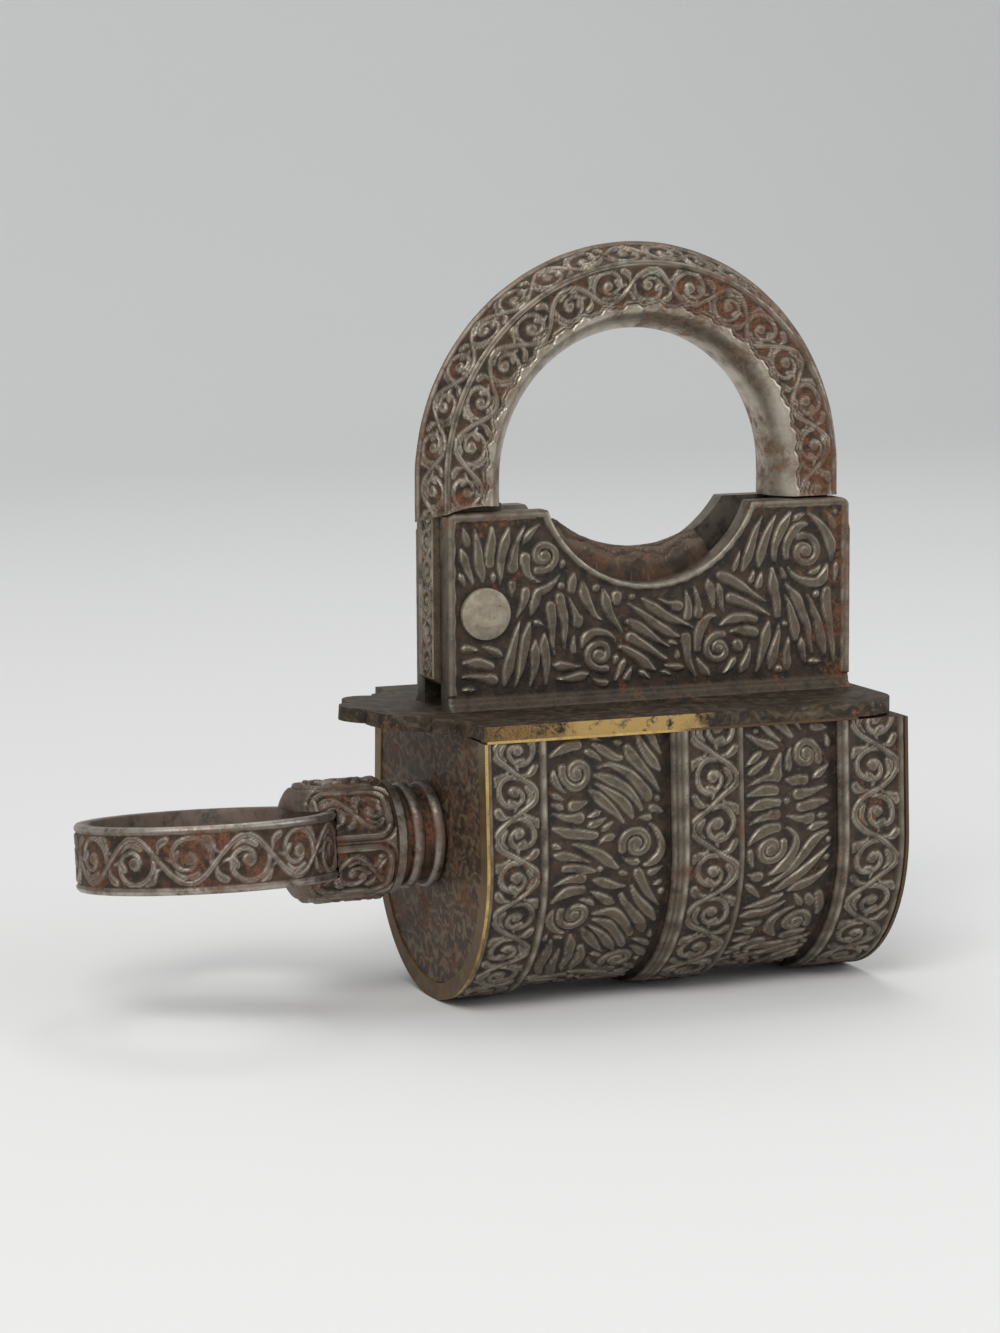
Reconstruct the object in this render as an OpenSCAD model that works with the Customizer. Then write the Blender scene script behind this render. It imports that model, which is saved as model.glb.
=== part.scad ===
// Barrel padlock with a hinged shackle and a screw key.
// Lengths are in millimetres. X runs along the barrel, the key enters from -X,
// -Y is the front and +Z is up. Working heights are counted from the top of the
// cover plate, and hang() moves everything to the point the lock hangs by.

/* [Barrel] */
// Length of the sheet body between its two brass rims
barrel_l = 69.5; // [58:0.5:90]
// Radius of the round bottom, over the raised bands
barrel_r = 24.2; // [20:0.1:30]
// Depth from the top of the cover plate to the lowest point
barrel_depth = 45.5; // [37:0.5:56]
// How much narrower each side is at the top than at its widest
side_lean = 0.9; // [0:0.1:1.5]
// Thickness of the body sheet
wall = 1.6; // [1.2:0.1:2.4]
// How far the bands stand out of the panels
band_rise = 1.0; // [0.5:0.1:1.6]
// Width of the band at the key end
key_band_w = 9.5; // [6:0.5:12]
// Start of the middle band, from the key end
mid_band_x = 29.8; // [22:0.1:34]
// Width of the middle band
mid_band_w = 12.1; // [8:0.1:14]
// Width of the band at the far end
far_band_w = 11.6; // [7:0.1:13]
// Thickness of the end plates
end_t = 2.0; // [1.4:0.1:3]
// Thickness of the brass rim at each end
rim_t = 0.5; // [0.3:0.1:0.8]
// How far the key end's plate lies below its brass rim
end_recess = 0.3; // [0.1:0.1:0.4]

/* [Cover plate] */
// Thickness of the cover plate
plate_t = 2.2; // [1.6:0.1:3]
// Thickness of the brass seam under the plate
seam_t = 0.4; // [0.2:0.1:0.6]
// Corner radius at the plate's far end
plate_corner_r = 8; // [3:0.5:12]
// How far the scalloped tongue reaches past the key end
tongue_reach = 14.8; // [10:0.1:18]
// Upward bend of the tongue, in degrees
tongue_bend = 4; // [0:0.5:6]

/* [Hinge housing] */
// Distance of the housing from the key end
house_in_key = 0.35; // [0.2:0.05:1]
// Distance of the housing from the far end
house_in_far = 1.3; // [0.5:0.1:3]
// Height of the cheeks above the plate
cheek_h = 30.1; // [25:0.1:37]
// Thickness of each cheek
cheek_t = 3.4; // [2.6:0.1:4]
// Width over both cheeks
house_w = 13.7; // [12:0.1:16]
// Radius of the notch under the shackle
notch_r = 18.2; // [15:0.1:19]
// Height of the notch's centre above the cheeks
notch_up = 6.2; // [4:0.1:8]
// Radius of the back cheek's shallower notch
back_notch_r = 20.1; // [17:0.1:22]
// Height of the back notch's centre above the cheeks
back_notch_up = 11.1; // [8:0.1:13]
// Radius of the saddle's crown, seen from the front
saddle_r = 21; // [18:0.1:25]
// Height of the saddle's crown above the front notch
saddle_rise = 5.2; // [3:0.1:6]
// Thickness of the saddle
saddle_t = 7; // [5:0.1:9]
// Rise of the saddle's round top across the slot
saddle_round = 2; // [0.5:0.1:3]

/* [Hinge] */
// Distance of the rivet from the key end
pivot_x = 6.45; // [5:0.05:8]
// Height of the rivet above the plate
pivot_z = 14.7; // [13:0.1:17]
// Radius of the rivet's shank
rivet_r = 2.5; // [2:0.1:3]
// Radius of the rivet's heads
rivet_head_r = 4.0; // [3.2:0.1:4.8]
// Height of the rivet's heads
rivet_head_h = 1.3; // [0.8:0.1:1.8]
// Radius of the rounded end of the shackle's hinge tongue
hinge_end_r = 12.4; // [9:0.1:12.6]

/* [Shackle] */
// Gap between the bow's front edge and the housing's key end
bow_in_key = 0.15; // [0:0.05:1]
// Gap between the bow's front edge and the housing's far end
bow_in_far = 1.9; // [1:0.1:3]
// Height of the bow's centre above the cheeks
bow_up = 4.6; // [3:0.1:8]
// Thickness of the bow from its round inner side to its front edge
bow_t = 10.4; // [8:0.1:12]
// Width of the bow from front to back
bow_w = 12; // [10:0.1:13]
// Height of the ridge along the bow's outer side
ridge_h = 2.9; // [1:0.1:4]
// Swell of the bow's round inner side
swell_h = 3.0; // [2:0.1:4]
// Thickness of the toe at the bolt
toe_t = 4.2; // [3.4:0.1:5]
// Distance of the toe from the bow's inner side
toe_in = 2.4; // [1.5:0.1:3]
// Reach of the toe below the top of the plate
toe_drop = 9.5; // [8:0.1:12]

/* [Bolt] */
// Depth of the locking pin's axis below the top of the plate
pin_drop = 6.2; // [5.6:0.1:7]
// Radius of the locking pin
pin_r = 1.6; // [1.2:0.1:1.8]
// Lead of the screw for one turn of the key
screw_lead = 2.5; // [1.5:0.1:3]
// Turns of the key from locked to open
screw_turns = 3; // [2:1:3]
// Radius of the screw tail
tail_r = 2.5; // [2:0.1:2.8]
// Thickness of the bolt's web
web_t = 2.5; // [2:0.1:4]
// Width of the bolt's web
web_w = 8; // [7:0.5:10]
// Length of the block that guides the pin
guide_l = 7; // [5:0.5:8]
// Length of the spring when the lock is open
spring_l = 8.5; // [8:0.1:10]
// Thickness of the spring wire
spring_wire = 1.3; // [0.9:0.1:1.3]
// Mean radius of the spring
spring_r = 3.9; // [3.8:0.1:4.4]

/* [Key] */
// Depth of the key's axis below the top of the plate
key_drop = 19.7; // [17:0.1:22]
// Radius of the key's hub
hub_r = 9.5; // [8:0.1:10.5]
// Length of the key outside the lock, up to the hub's open end
hub_l = 23.2; // [20:0.1:27]
// Radius of the collar next to the beads
collar_r = 8.6; // [7.4:0.1:9]
// Radius of the two turned beads
bead_r = 8.2; // [7:0.1:8.6]
// Radius of the necks between the beads
neck_r = 7.2; // [5.6:0.1:7.4]
// Radius of the hollow shank inside the lock
shank_r = 4.4; // [3.8:0.1:5]
// Length of the shank inside the lock
shank_l = 14; // [12:0.5:16]
// Outer radius of the finger ring
ring_r = 19.8; // [16:0.1:24]
// Thickness of the ring's band
ring_t = 2.4; // [1.8:0.1:3]
// Height of the ring's band
ring_h = 10; // [8:0.1:11]
// Distance of the ring's centre from the lock's end
ring_x = 36.4; // [32:0.1:42]
// Turn of the key at which its screw runs home, in degrees
key_home = -6.5; // [-45:0.5:45]

/* [Hidden] */
$fn = 96;
fit = 0.05;            // radial clearance of a turning or sliding fit
slide_gap = 0.3;       // clearance beside parts that swing or slide past each other
cut = 1;               // overrun of a cutting shape past the surface it cuts

top_half = barrel_r - side_lean;
bowl_z = -(barrel_depth - barrel_r);
panel_in = band_rise;
sheet_in = band_rise + wall;
shell_top = -plate_t - seam_t;

house_x = house_in_key;
house_l = barrel_l - house_in_key - house_in_far;
slot_w = house_w - 2 * cheek_t;
blade_w = slot_w - 2 * slide_gap;

bow_out = (house_l - bow_in_key - bow_in_far) / 2;
bow_in = bow_out - bow_t;
bow_x = house_x + bow_in_key + bow_out;
bow_z = cheek_h + bow_up;
notch_x = bow_x + 0.6;
notch_z = cheek_h + notch_up;
saddle_z = notch_z - notch_r + saddle_rise + saddle_r;
cheek_arc_r = cheek_h - pivot_z + 0.7;
shoulder_r = cheek_arc_r + slide_gap;
head_seat = house_w / 2;

toe_x = bow_x + bow_in + toe_in;
toe_far_x = toe_x + toe_t;
travel = screw_lead * screw_turns;
pin_tip = toe_x - 0.9;
guide_x = toe_x - 1.8 - guide_l;
eye_r = pin_r + 0.4;

bulkhead_x = shank_l + 1;
bulkhead_t = 1.5;
spring_x = bulkhead_x + bulkhead_t;
washer_x = spring_x + spring_l;
washer_t = 0.8;
web_x = washer_x + washer_t;
web_end = web_x + web_t;
tail_x = shank_l - travel;
bush_r = shank_r + 1.8;
bush_l = 5;

function swing_x(x, z, level) =
    pivot_x + sqrt(pow(x - pivot_x, 2) + pow(z - pivot_z, 2) - pow(level - pivot_z, 2));
toe_reach_x = swing_x(toe_far_x, 1 - toe_drop, 0);

// ---- shared shapes ----

// Moves the working frame so that the origin is the inner top of the shackle.
module hang() {
    translate([-bow_x, 0, -bow_z - bow_in])
        children();
}

// A flat shape drawn as (y, z), given a thickness along X.
module along_x(x, l) {
    translate([x, 0, 0])
        rotate([90, 0, 90])
            linear_extrude(height = l)
                children();
}

// A flat shape drawn as (x, z), given a width centred on y.
module across(y, w) {
    translate([0, y + w / 2, 0])
        rotate([90, 0, 0])
            linear_extrude(height = w)
                children();
}

// A round bar along X.
module bar_x(x, l, r, z) {
    translate([x, 0, z])
        rotate([0, 90, 0])
            cylinder(h = l, r = r);
}

// A round bar along Y, centred on the lock's middle plane.
module bar_y(w, r, x, z) {
    translate([x, w / 2, z])
        rotate([90, 0, 0])
            cylinder(h = w, r = r);
}

// The barrel's section, shrunk by inset: a round bottom and leaning flat sides.
module barrel_section(inset, top) {
    r = barrel_r - inset;
    lean = asin(side_lean / (barrel_depth - barrel_r));
    side_y = r * cos(lean);
    side_z = bowl_z + r * sin(lean);
    translate([0, bowl_z])
        circle(r = r);
    intersection() {
        polygon([
            [-side_y, side_z], [side_y, side_z],
            [side_y - tan(lean) * (top - side_z), top],
            [-side_y + tan(lean) * (top - side_z), top]
        ]);
        translate([-barrel_r, bowl_z])
            square([2 * barrel_r, barrel_depth]);
    }
}

// The barrel's section cut level at the top, so that it never reaches above it.
module barrel_face(inset, top) {
    intersection() {
        barrel_section(inset, top);
        translate([-2 * barrel_r, -2 * barrel_depth])
            square([4 * barrel_r, 2 * barrel_depth + top]);
    }
}

// A strip of the barrel's wall between two insets.
module hoop(x, l, outer, inner) {
    along_x(x, l)
        difference() {
            barrel_face(outer, shell_top);
            barrel_face(inner, shell_top + cut);
        }
}

// ---- barrel ----

module barrel_shell() {
    color("#3b302a")
        hang()
            hoop(0, barrel_l, panel_in, sheet_in);
}

module band(x, l) {
    color("#4a3f37")
        hang()
            hoop(x, l, 0, panel_in);
}

module key_band() {
    band(0, key_band_w);
}

module middle_band() {
    band(mid_band_x, mid_band_w);
}

module far_band() {
    band(barrel_l - far_band_w, far_band_w);
}

module key_end_plate() {
    color("#5a4232")
        hang()
            difference() {
                along_x(end_recess - rim_t, end_t)
                    barrel_face(sheet_in + fit, shell_top);
                bar_x(-rim_t - cut, end_t + 2 * cut, bush_r + fit, -key_drop);
            }
}

module far_end_plate() {
    color("#5a4232")
        hang()
            along_x(barrel_l + rim_t - end_t, end_t)
                barrel_face(sheet_in + fit, shell_top);
}

module rim(x) {
    color("#a8812f")
        hang()
            hoop(x, rim_t, 0, sheet_in);
}

module key_rim() {
    rim(-rim_t);
}

module far_rim() {
    rim(barrel_l);
}

// ---- cover plate ----

// Scallops along one side of the tongue: centre x, centre y and radius.
scallops = [[-5.0, 5.3, 7.2], [-1.5, 12.3, 3.5], [1.5, 15.3, 3.5]];
tip_r = 3.8;

module tongue_outline() {
    translate([tip_r - tongue_reach, 0])
        circle(r = tip_r);
    polygon([
        [tip_r - tongue_reach, -tip_r], [-5, -10], [0, -top_half + 4],
        [0, top_half - 4], [-5, 10], [tip_r - tongue_reach, tip_r]
    ]);
    for (side = [-1, 1], s = scallops)
        translate([s[0], side * s[1]])
            circle(r = s[2]);
}

module plate_outline() {
    r = plate_corner_r;
    translate([-rim_t, -top_half])
        square([barrel_l + 2 * rim_t - r, 2 * top_half]);
    translate([0, r - top_half])
        square([barrel_l + rim_t, 2 * (top_half - r)]);
    for (side = [-1, 1])
        translate([barrel_l + rim_t - r, side * (top_half - r)])
            circle(r = r);
}

module cover_plate() {
    color("#38302a")
        hang()
            difference() {
                union() {
                    translate([0, 0, -plate_t])
                        linear_extrude(height = plate_t)
                            plate_outline();
                    translate([-rim_t, 0, 0])
                        rotate([0, tongue_bend, 0])
                            translate([rim_t, 0, -plate_t])
                                linear_extrude(height = plate_t)
                                    intersection() {
                                        tongue_outline();
                                        translate([-tongue_reach - cut, -top_half])
                                            square([tongue_reach + cut, 2 * top_half]);
                                    }
                }
                translate([toe_x - 0.4, -slot_w / 2, -plate_t - cut])
                    cube([toe_reach_x + 0.5 - toe_x + 0.4, slot_w, plate_t + 2 * cut]);
            }
}

module plate_seams() {
    color("#a8812f")
        hang()
            for (side = [-1, 1])
                translate([0, side * (top_half - sheet_in / 2) - sheet_in / 2, shell_top])
                    cube([barrel_l - plate_corner_r, sheet_in, seam_t]);
}

// ---- hinge housing ----

module cheek_outline(cut_r, cut_z) {
    far_r = 1.8;
    difference() {
        union() {
            translate([house_x, 0])
                square([house_l, pivot_z]);
            translate([pivot_x, 0])
                square([house_x + house_l - far_r - pivot_x, cheek_h]);
            translate([pivot_x, 0])
                square([house_x + house_l - pivot_x, cheek_h - far_r]);
            translate([house_x + house_l - far_r, cheek_h - far_r])
                circle(r = far_r);
            intersection() {
                translate([pivot_x, pivot_z])
                    circle(r = cheek_arc_r);
                translate([house_x, 0])
                    square([cheek_arc_r, cheek_h + cut]);
            }
        }
        translate([notch_x, cut_z])
            circle(r = cut_r);
        translate([pivot_x, pivot_z])
            circle(r = rivet_r + fit);
    }
}

module cheek(side, cut_r, cut_z) {
    color("#463a32")
        hang()
            across(side * (house_w - cheek_t) / 2, cheek_t)
                cheek_outline(cut_r, cut_z);
}

module front_cheek() {
    cheek(-1, notch_r, notch_z);
}

module back_cheek() {
    cheek(1, back_notch_r, cheek_h + back_notch_up);
}

// Section of the saddle: x is the distance from its centre, y the width.
module saddle_section() {
    half = slot_w / 2;
    round_r = (pow(half, 2) + pow(saddle_round, 2)) / (2 * saddle_round);
    intersection() {
        translate([saddle_r + round_r, 0])
            circle(r = round_r);
        translate([saddle_r, -half])
            square([saddle_round, slot_w]);
    }
    translate([saddle_r + saddle_round, -half])
        square([saddle_t - saddle_round, slot_w]);
}

module saddle() {
    saddle_end = notch_x + 10;
    color("#4a3528")
        hang()
            difference() {
                intersection() {
                    translate([notch_x, 0, saddle_z])
                        rotate([90, 0, 0])
                            rotate_extrude()
                                saddle_section();
                    across(0, slot_w + cut)
                        translate([notch_x - notch_r, 0])
                            square([saddle_end - notch_x + notch_r, cheek_h - 2]);
                }
                bar_y(slot_w + 2 * cut, hinge_end_r + 0.5, pivot_x, pivot_z);
            }
}

module rivet_head() {
    swell = (pow(rivet_head_r, 2) + pow(rivet_head_h, 2)) / (2 * rivet_head_h);
    intersection() {
        translate([0, 0, rivet_head_h - swell])
            sphere(r = swell);
        cylinder(h = rivet_head_h, r = rivet_head_r);
    }
}

module hinge_rivet() {
    color("#8f8c86")
        hang() {
            bar_y(house_w, rivet_r, pivot_x, pivot_z);
            for (side = [-1, 1])
                translate([pivot_x, side * head_seat, pivot_z])
                    rotate([-side * 90, 0, 0])
                        rivet_head();
        }
}

// ---- shackle ----

// Section of the bow: x is the distance from the bow's centre, y the width.
module bow_section() {
    half = bow_w / 2;
    swell_r = (pow(half, 2) + pow(swell_h, 2)) / (2 * swell_h);
    intersection() {
        translate([bow_in + swell_r, 0])
            circle(r = swell_r);
        translate([bow_in, -half])
            square([swell_r, bow_w]);
    }
    polygon([
        [bow_in + swell_h, -half], [bow_out, -half], [bow_out + ridge_h, 0],
        [bow_out, half], [bow_in + swell_h, half]
    ]);
}

module bow_arch() {
    translate([bow_x, 0, bow_z])
        rotate([90, 0, 0])
            rotate_extrude(angle = 180)
                bow_section();
}

module bow_leg(side, z) {
    translate([bow_x, 0, z])
        linear_extrude(height = bow_z - z)
            mirror([side < 0 ? 1 : 0, 0])
                bow_section();
}

// Blade of the shackle's hinge, between the cheeks.
module hinge_blade() {
    blade_x = house_x - 1.05;
    blade_l = 11.2;
    across(0, blade_w)
        difference() {
            union() {
                intersection() {
                    translate([pivot_x, pivot_z])
                        circle(r = hinge_end_r);
                    translate([blade_x, 0])
                        square([blade_l, pivot_z]);
                }
                translate([blade_x, pivot_z])
                    square([blade_l, bow_z - pivot_z]);
            }
            translate([pivot_x, pivot_z])
                circle(r = rivet_r + 0.1);
        }
}

// Toe of the shackle: it drops through the plate and has an eye for the bolt.
module toe() {
    wide = toe_t + 4;
    difference() {
        across(0, blade_w)
            polygon([
                [toe_x, bow_z], [toe_x + wide, bow_z], [toe_x + wide, pivot_z - 2],
                [toe_far_x, 1], [toe_far_x, 1 - toe_drop], [toe_far_x - 1, -toe_drop],
                [toe_x + 1, -toe_drop], [toe_x, 1 - toe_drop]
            ]);
        bar_x(toe_x - cut, toe_t + 2 * cut, eye_r, -pin_drop);
    }
}

module shackle() {
    color("#6b5f55")
        hang() {
            bow_arch();
            bow_leg(1, cheek_h + slide_gap + 0.05);
            difference() {
                bow_leg(-1, pivot_z);
                bar_y(2 * bow_w, shoulder_r, pivot_x, pivot_z);
            }
            hinge_blade();
            toe();
        }
}

// ---- inside the barrel ----

module keyhole_bush() {
    color("#8a6a35")
        hang()
            difference() {
                bar_x(end_recess - rim_t, bush_l, bush_r, -key_drop);
                bar_x(-rim_t - cut, bush_l + 2 * cut, shank_r + fit, -key_drop);
            }
}

module spring_bulkhead() {
    color("#54483f")
        hang()
            difference() {
                along_x(bulkhead_x, bulkhead_t)
                    barrel_face(sheet_in + fit, shell_top);
                bar_x(bulkhead_x - cut, bulkhead_t + 2 * cut, tail_r + 0.4, -key_drop);
            }
}

module guide_rails() {
    rail = 2;
    color("#54483f")
        hang()
            for (side = [-1, 1])
                translate([spring_x, side * (web_w / 2 + slide_gap + rail / 2) - rail / 2, -6 - plate_t])
                    cube([web_end + travel - spring_x, rail, 6]);
}

module pin_guide() {
    block_h = 2 * (pin_drop - plate_t);
    color("#54483f")
        hang()
            difference() {
                translate([guide_x, -5, -plate_t - block_h])
                    cube([guide_l, 10, block_h]);
                bar_x(guide_x - cut, guide_l + 2 * cut, pin_r + fit, -pin_drop);
            }
}

module bolt_web() {
    color("#6b6259")
        hang()
            difference() {
                translate([web_x, -web_w / 2, -key_drop - 5])
                    cube([web_t, web_w, key_drop + 5 - plate_t - slide_gap]);
                bar_x(web_x - cut, web_t + 2 * cut, tail_r - 0.7 + fit, -key_drop);
                bar_x(web_x - cut, web_t + 2 * cut, pin_r - 0.4 + fit, -pin_drop);
            }
}

module screw_tail() {
    color("#7a7169")
        hang() {
            bar_x(tail_x, web_x - tail_x, tail_r, -key_drop);
            bar_x(web_x, web_t + 0.6, tail_r - 0.7, -key_drop);
        }
}

module locking_pin() {
    collar = 2;
    color("#7a7169")
        hang() {
            bar_x(web_x - 0.5, web_t + 0.5, pin_r - 0.4, -pin_drop);
            bar_x(web_end, collar, pin_r + 0.8, -pin_drop);
            bar_x(web_end + collar, pin_tip - 1 - web_end - collar, pin_r, -pin_drop);
            translate([pin_tip - 1, 0, -pin_drop])
                rotate([0, 90, 0])
                    cylinder(h = 1, r1 = pin_r, r2 = pin_r - 0.6);
        }
}

module spring_washer() {
    color("#7a7169")
        hang()
            difference() {
                bar_x(washer_x, washer_t, spring_r + spring_wire / 2 + 0.4, -key_drop);
                bar_x(washer_x - cut, washer_t + 2 * cut, tail_r + fit, -key_drop);
            }
}

// A helix of round wire, swept ring by ring.
spring_turns = 5;
ring_steps = 24;
wire_sides = 10;

function spring_point(step, side) =
    let (
        turn = 360 * step / ring_steps,
        steps = spring_turns * ring_steps,
        around = 360 * side / wire_sides,
        r = spring_r + spring_wire / 2 * cos(around),
        run = spring_l - spring_wire - 0.1
    )
    [
        0.05 + spring_wire / 2 + run * step / steps + spring_wire / 2 * sin(around),
        r * cos(turn),
        r * sin(turn)
    ];

module coil_spring() {
    steps = spring_turns * ring_steps;
    n = wire_sides;
    points = [for (s = [0 : steps], k = [0 : n - 1]) spring_point(s, k)];
    sides = [for (s = [0 : steps - 1], k = [0 : n - 1])
        [s * n + k, s * n + (k + 1) % n, (s + 1) * n + (k + 1) % n, (s + 1) * n + k]];
    start = [[for (k = [n - 1 : -1 : 0]) k]];
    end = [[for (k = [0 : n - 1]) steps * n + k]];
    color("#6f6a63")
        hang()
            translate([spring_x, 0, -key_drop])
                polyhedron(points = points, faces = concat(sides, start, end), convexity = 10);
}

// ---- key ----

// Turns a key piece to where its screw runs home.
module home() {
    hang()
        translate([0, 0, -key_drop])
            rotate([key_home, 0, 0])
                children();
}

// Half section of the hub: x is the distance from the lock's end, y the radius.
module hub_section() {
    seat = rim_t + 0.05;
    round_r = 3;
    hub_end = 8.6;
    square([hub_l - round_r, hub_r - 3]);
    translate([hub_end, 0])
        square([hub_l - round_r - hub_end, hub_r]);
    translate([hub_l - round_r, 0])
        square([round_r, hub_r - round_r]);
    translate([hub_l - round_r, hub_r - round_r])
        circle(r = round_r);
    intersection() {
        translate([hub_end, hub_r - 3])
            circle(r = 3);
        square([hub_end, hub_r]);
    }
    translate([7.0, 0])
        square([2, collar_r]);
    for (x = [seat + 1.0, 4.9])
        translate([x, bead_r - 1.0])
            circle(r = 1.0);
    translate([seat, 0])
        square([2, bead_r - 1.0]);
    translate([3.9, 0])
        square([2, bead_r - 1.0]);
    translate([seat, 0])
        square([hub_l - round_r - seat, neck_r]);
}

module key_hub() {
    seat = rim_t + 0.05;
    color("#6b5448")
        home() {
            difference() {
                rotate([0, -90, 0])
                    rotate_extrude()
                        intersection() {
                            rotate([0, 0, 90])
                                mirror([0, 1])
                                    hub_section();
                            translate([0, seat])
                                square([hub_r + 1, hub_l]);
                        }
                translate([-ring_x, 0, -ring_h / 2])
                    cylinder(h = ring_h, r = ring_r);
            }
            difference() {
                bar_x(-seat, shank_l + seat, shank_r, 0);
                bar_x(2, shank_l, tail_r + fit, 0);
            }
        }
}

module key_ring() {
    color("#6b5448")
        home()
            translate([-ring_x, 0, -ring_h / 2])
                difference() {
                    cylinder(h = ring_h, r = ring_r);
                    translate([0, 0, -cut])
                        cylinder(h = ring_h + 2 * cut, r = ring_r - ring_t);
                }
}

barrel_shell();
key_band();
middle_band();
far_band();
key_end_plate();
far_end_plate();
key_rim();
far_rim();
cover_plate();
plate_seams();
front_cheek();
back_cheek();
saddle();
hinge_rivet();
shackle();
keyhole_bush();
spring_bulkhead();
guide_rails();
pin_guide();
bolt_web();
screw_tail();
locking_pin();
spring_washer();
coil_spring();
key_hub();
key_ring();
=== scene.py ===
# %% [markdown]
# # A steel barrel padlock, carved and aged
# The lock's solids come from the CAD frame: every node already sits where it belongs and already
# knows which body it moves with. This lesson dresses them. Plain plates get an aged metal finish,
# and the pieces that a smith carved are modelled again as dense sheets, so that the ornament is
# real relief and throws real shadows.

# %% Load the frame
import math

import bpy
import numpy as np
from mathutils import Matrix, Vector


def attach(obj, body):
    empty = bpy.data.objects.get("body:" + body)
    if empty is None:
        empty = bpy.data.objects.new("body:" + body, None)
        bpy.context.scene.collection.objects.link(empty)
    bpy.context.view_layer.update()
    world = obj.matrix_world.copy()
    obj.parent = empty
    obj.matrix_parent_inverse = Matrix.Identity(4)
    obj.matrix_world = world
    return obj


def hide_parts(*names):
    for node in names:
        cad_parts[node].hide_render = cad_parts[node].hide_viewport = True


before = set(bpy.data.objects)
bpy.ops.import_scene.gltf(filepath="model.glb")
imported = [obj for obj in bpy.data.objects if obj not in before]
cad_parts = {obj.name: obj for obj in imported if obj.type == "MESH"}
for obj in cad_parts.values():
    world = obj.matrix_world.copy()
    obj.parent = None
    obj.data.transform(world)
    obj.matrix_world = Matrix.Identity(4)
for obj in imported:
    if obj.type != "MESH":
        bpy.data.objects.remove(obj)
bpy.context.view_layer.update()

# %% [markdown]
# ## Camera
# A long lens from a little left of the front and a little above gives a quiet, nearly parallel
# view. The camera is built from its viewing direction and a very small roll.

# %% Camera
LENS = 144
ROLL = math.radians(-0.306)
CAMERA_AT = Vector((-0.2510, -0.56695, 0.03337))
LOOK = Vector((0.37103, 0.91834, -0.13777)).normalized()
LOCK_MIDDLE = Vector((-0.018, 0.009, -0.053))
SENSOR = 36
NEAREST = 0.01

level_right = LOOK.cross(Vector((0, 0, 1))).normalized()
level_up = level_right.cross(LOOK)
right = level_right * math.cos(ROLL) + level_up * math.sin(ROLL)
up = level_up * math.cos(ROLL) - level_right * math.sin(ROLL)

bpy.ops.object.select_all(action="DESELECT")
bpy.ops.object.camera_add()
camera = bpy.context.object
camera.name = "studio_camera"
camera.data.sensor_fit = "HORIZONTAL"
camera.data.sensor_width = SENSOR
camera.data.lens = LENS
camera.data.clip_start = NEAREST
camera.matrix_world = Matrix((
    (right.x, up.x, -LOOK.x, CAMERA_AT.x),
    (right.y, up.y, -LOOK.y, CAMERA_AT.y),
    (right.z, up.z, -LOOK.z, CAMERA_AT.z),
    (0, 0, 0, 1),
))
bpy.context.scene.camera = camera
print("camera distance:", round((CAMERA_AT - LOCK_MIDDLE).length, 3), "m")

# %% [markdown]
# ## Writing shader sums
# A finish is mostly arithmetic on masks. `Wire` wraps one socket and lets a sum on masks be
# written as plain Python, and `Recipe.node` adds every other node: settings first, then sockets.

# %% Wires and recipes
class Wire:
    """A socket that Python sums can be written on."""

    def __init__(self, recipe, socket):
        self.recipe = recipe
        self.socket = socket

    def _sum(self, operation, first, second):
        return self.recipe.node("ShaderNodeMath", {"operation": operation}, {0: first, 1: second})

    def __add__(self, other):
        return self._sum("ADD", self, other)

    __radd__ = __add__

    def __mul__(self, other):
        return self._sum("MULTIPLY", self, other)

    __rmul__ = __mul__

    def __sub__(self, other):
        return self._sum("SUBTRACT", self, other)

    def __rsub__(self, other):
        return self._sum("SUBTRACT", other, self)


class Recipe:
    """A new material and the one way to add a node to it."""

    def __init__(self, name):
        self.material = bpy.data.materials.new(name)
        self.material.use_nodes = True
        self.tree = self.material.node_tree
        self.tree.nodes.clear()

    def node(self, kind, settings=None, sockets=None, out=0):
        made = self.tree.nodes.new(kind)
        for key, value in (settings or {}).items():
            setattr(made, key, value)
        for key, value in (sockets or {}).items():
            if isinstance(value, Wire):
                self.tree.links.new(value.socket, made.inputs[key])
            else:
                made.inputs[key].default_value = value
        return Wire(self, made.outputs[out]) if made.outputs else None

    def noise(self, place, scale, detail=3.0, roughness=0.55):
        return self.node("ShaderNodeTexNoise", None,
                         {"Vector": place, "Scale": scale, "Detail": detail, "Roughness": roughness})

    def step(self, value, low, high):
        """0 below low, 1 above high and smooth between them."""
        return self.node("ShaderNodeMapRange", {"interpolation_type": "SMOOTHSTEP"},
                         {"Value": value, "From Min": low, "From Max": high})

    def blend(self, factor, first, second):
        """A colour between two colours."""
        return self.node("ShaderNodeMix", {"data_type": "RGBA"},
                         {0: factor, 6: first, 7: second}, out=2)

    def stored(self, name):
        """A number that the mesh carries at each vertex."""
        return self.node("ShaderNodeAttribute", {"attribute_name": name}, out=2)

    def part(self, vector, axis):
        """One of a vector's three numbers."""
        return self.node("ShaderNodeSeparateXYZ", None, {0: vector}, out="XYZ".index(axis))

    def front_smear(self, place, ragged):
        """1 on front-facing edges near the key end, where brazing ran over the steel."""
        facing = self.part(self.node("ShaderNodeTexCoord", out=1), "Y")
        front = self.step(0 - facing, 0.45, 0.8)
        along = self.part(place, "X")
        near = self.step(0 - along + 0.014 * ragged, 0.003, 0.012)
        clear_of_tongue = self.step(along, -0.036, -0.031)
        return front * near * clear_of_tongue * self.step(ragged, 0.46, 0.62)

    def finish(self, shader_sockets):
        shader = self.node("ShaderNodeBsdfPrincipled", None, shader_sockets)
        self.node("ShaderNodeOutputMaterial", None, {"Surface": shader})
        return self.material


def tone(red, green, blue):
    return (red, green, blue, 1.0)


print("shader helpers ready")

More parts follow.
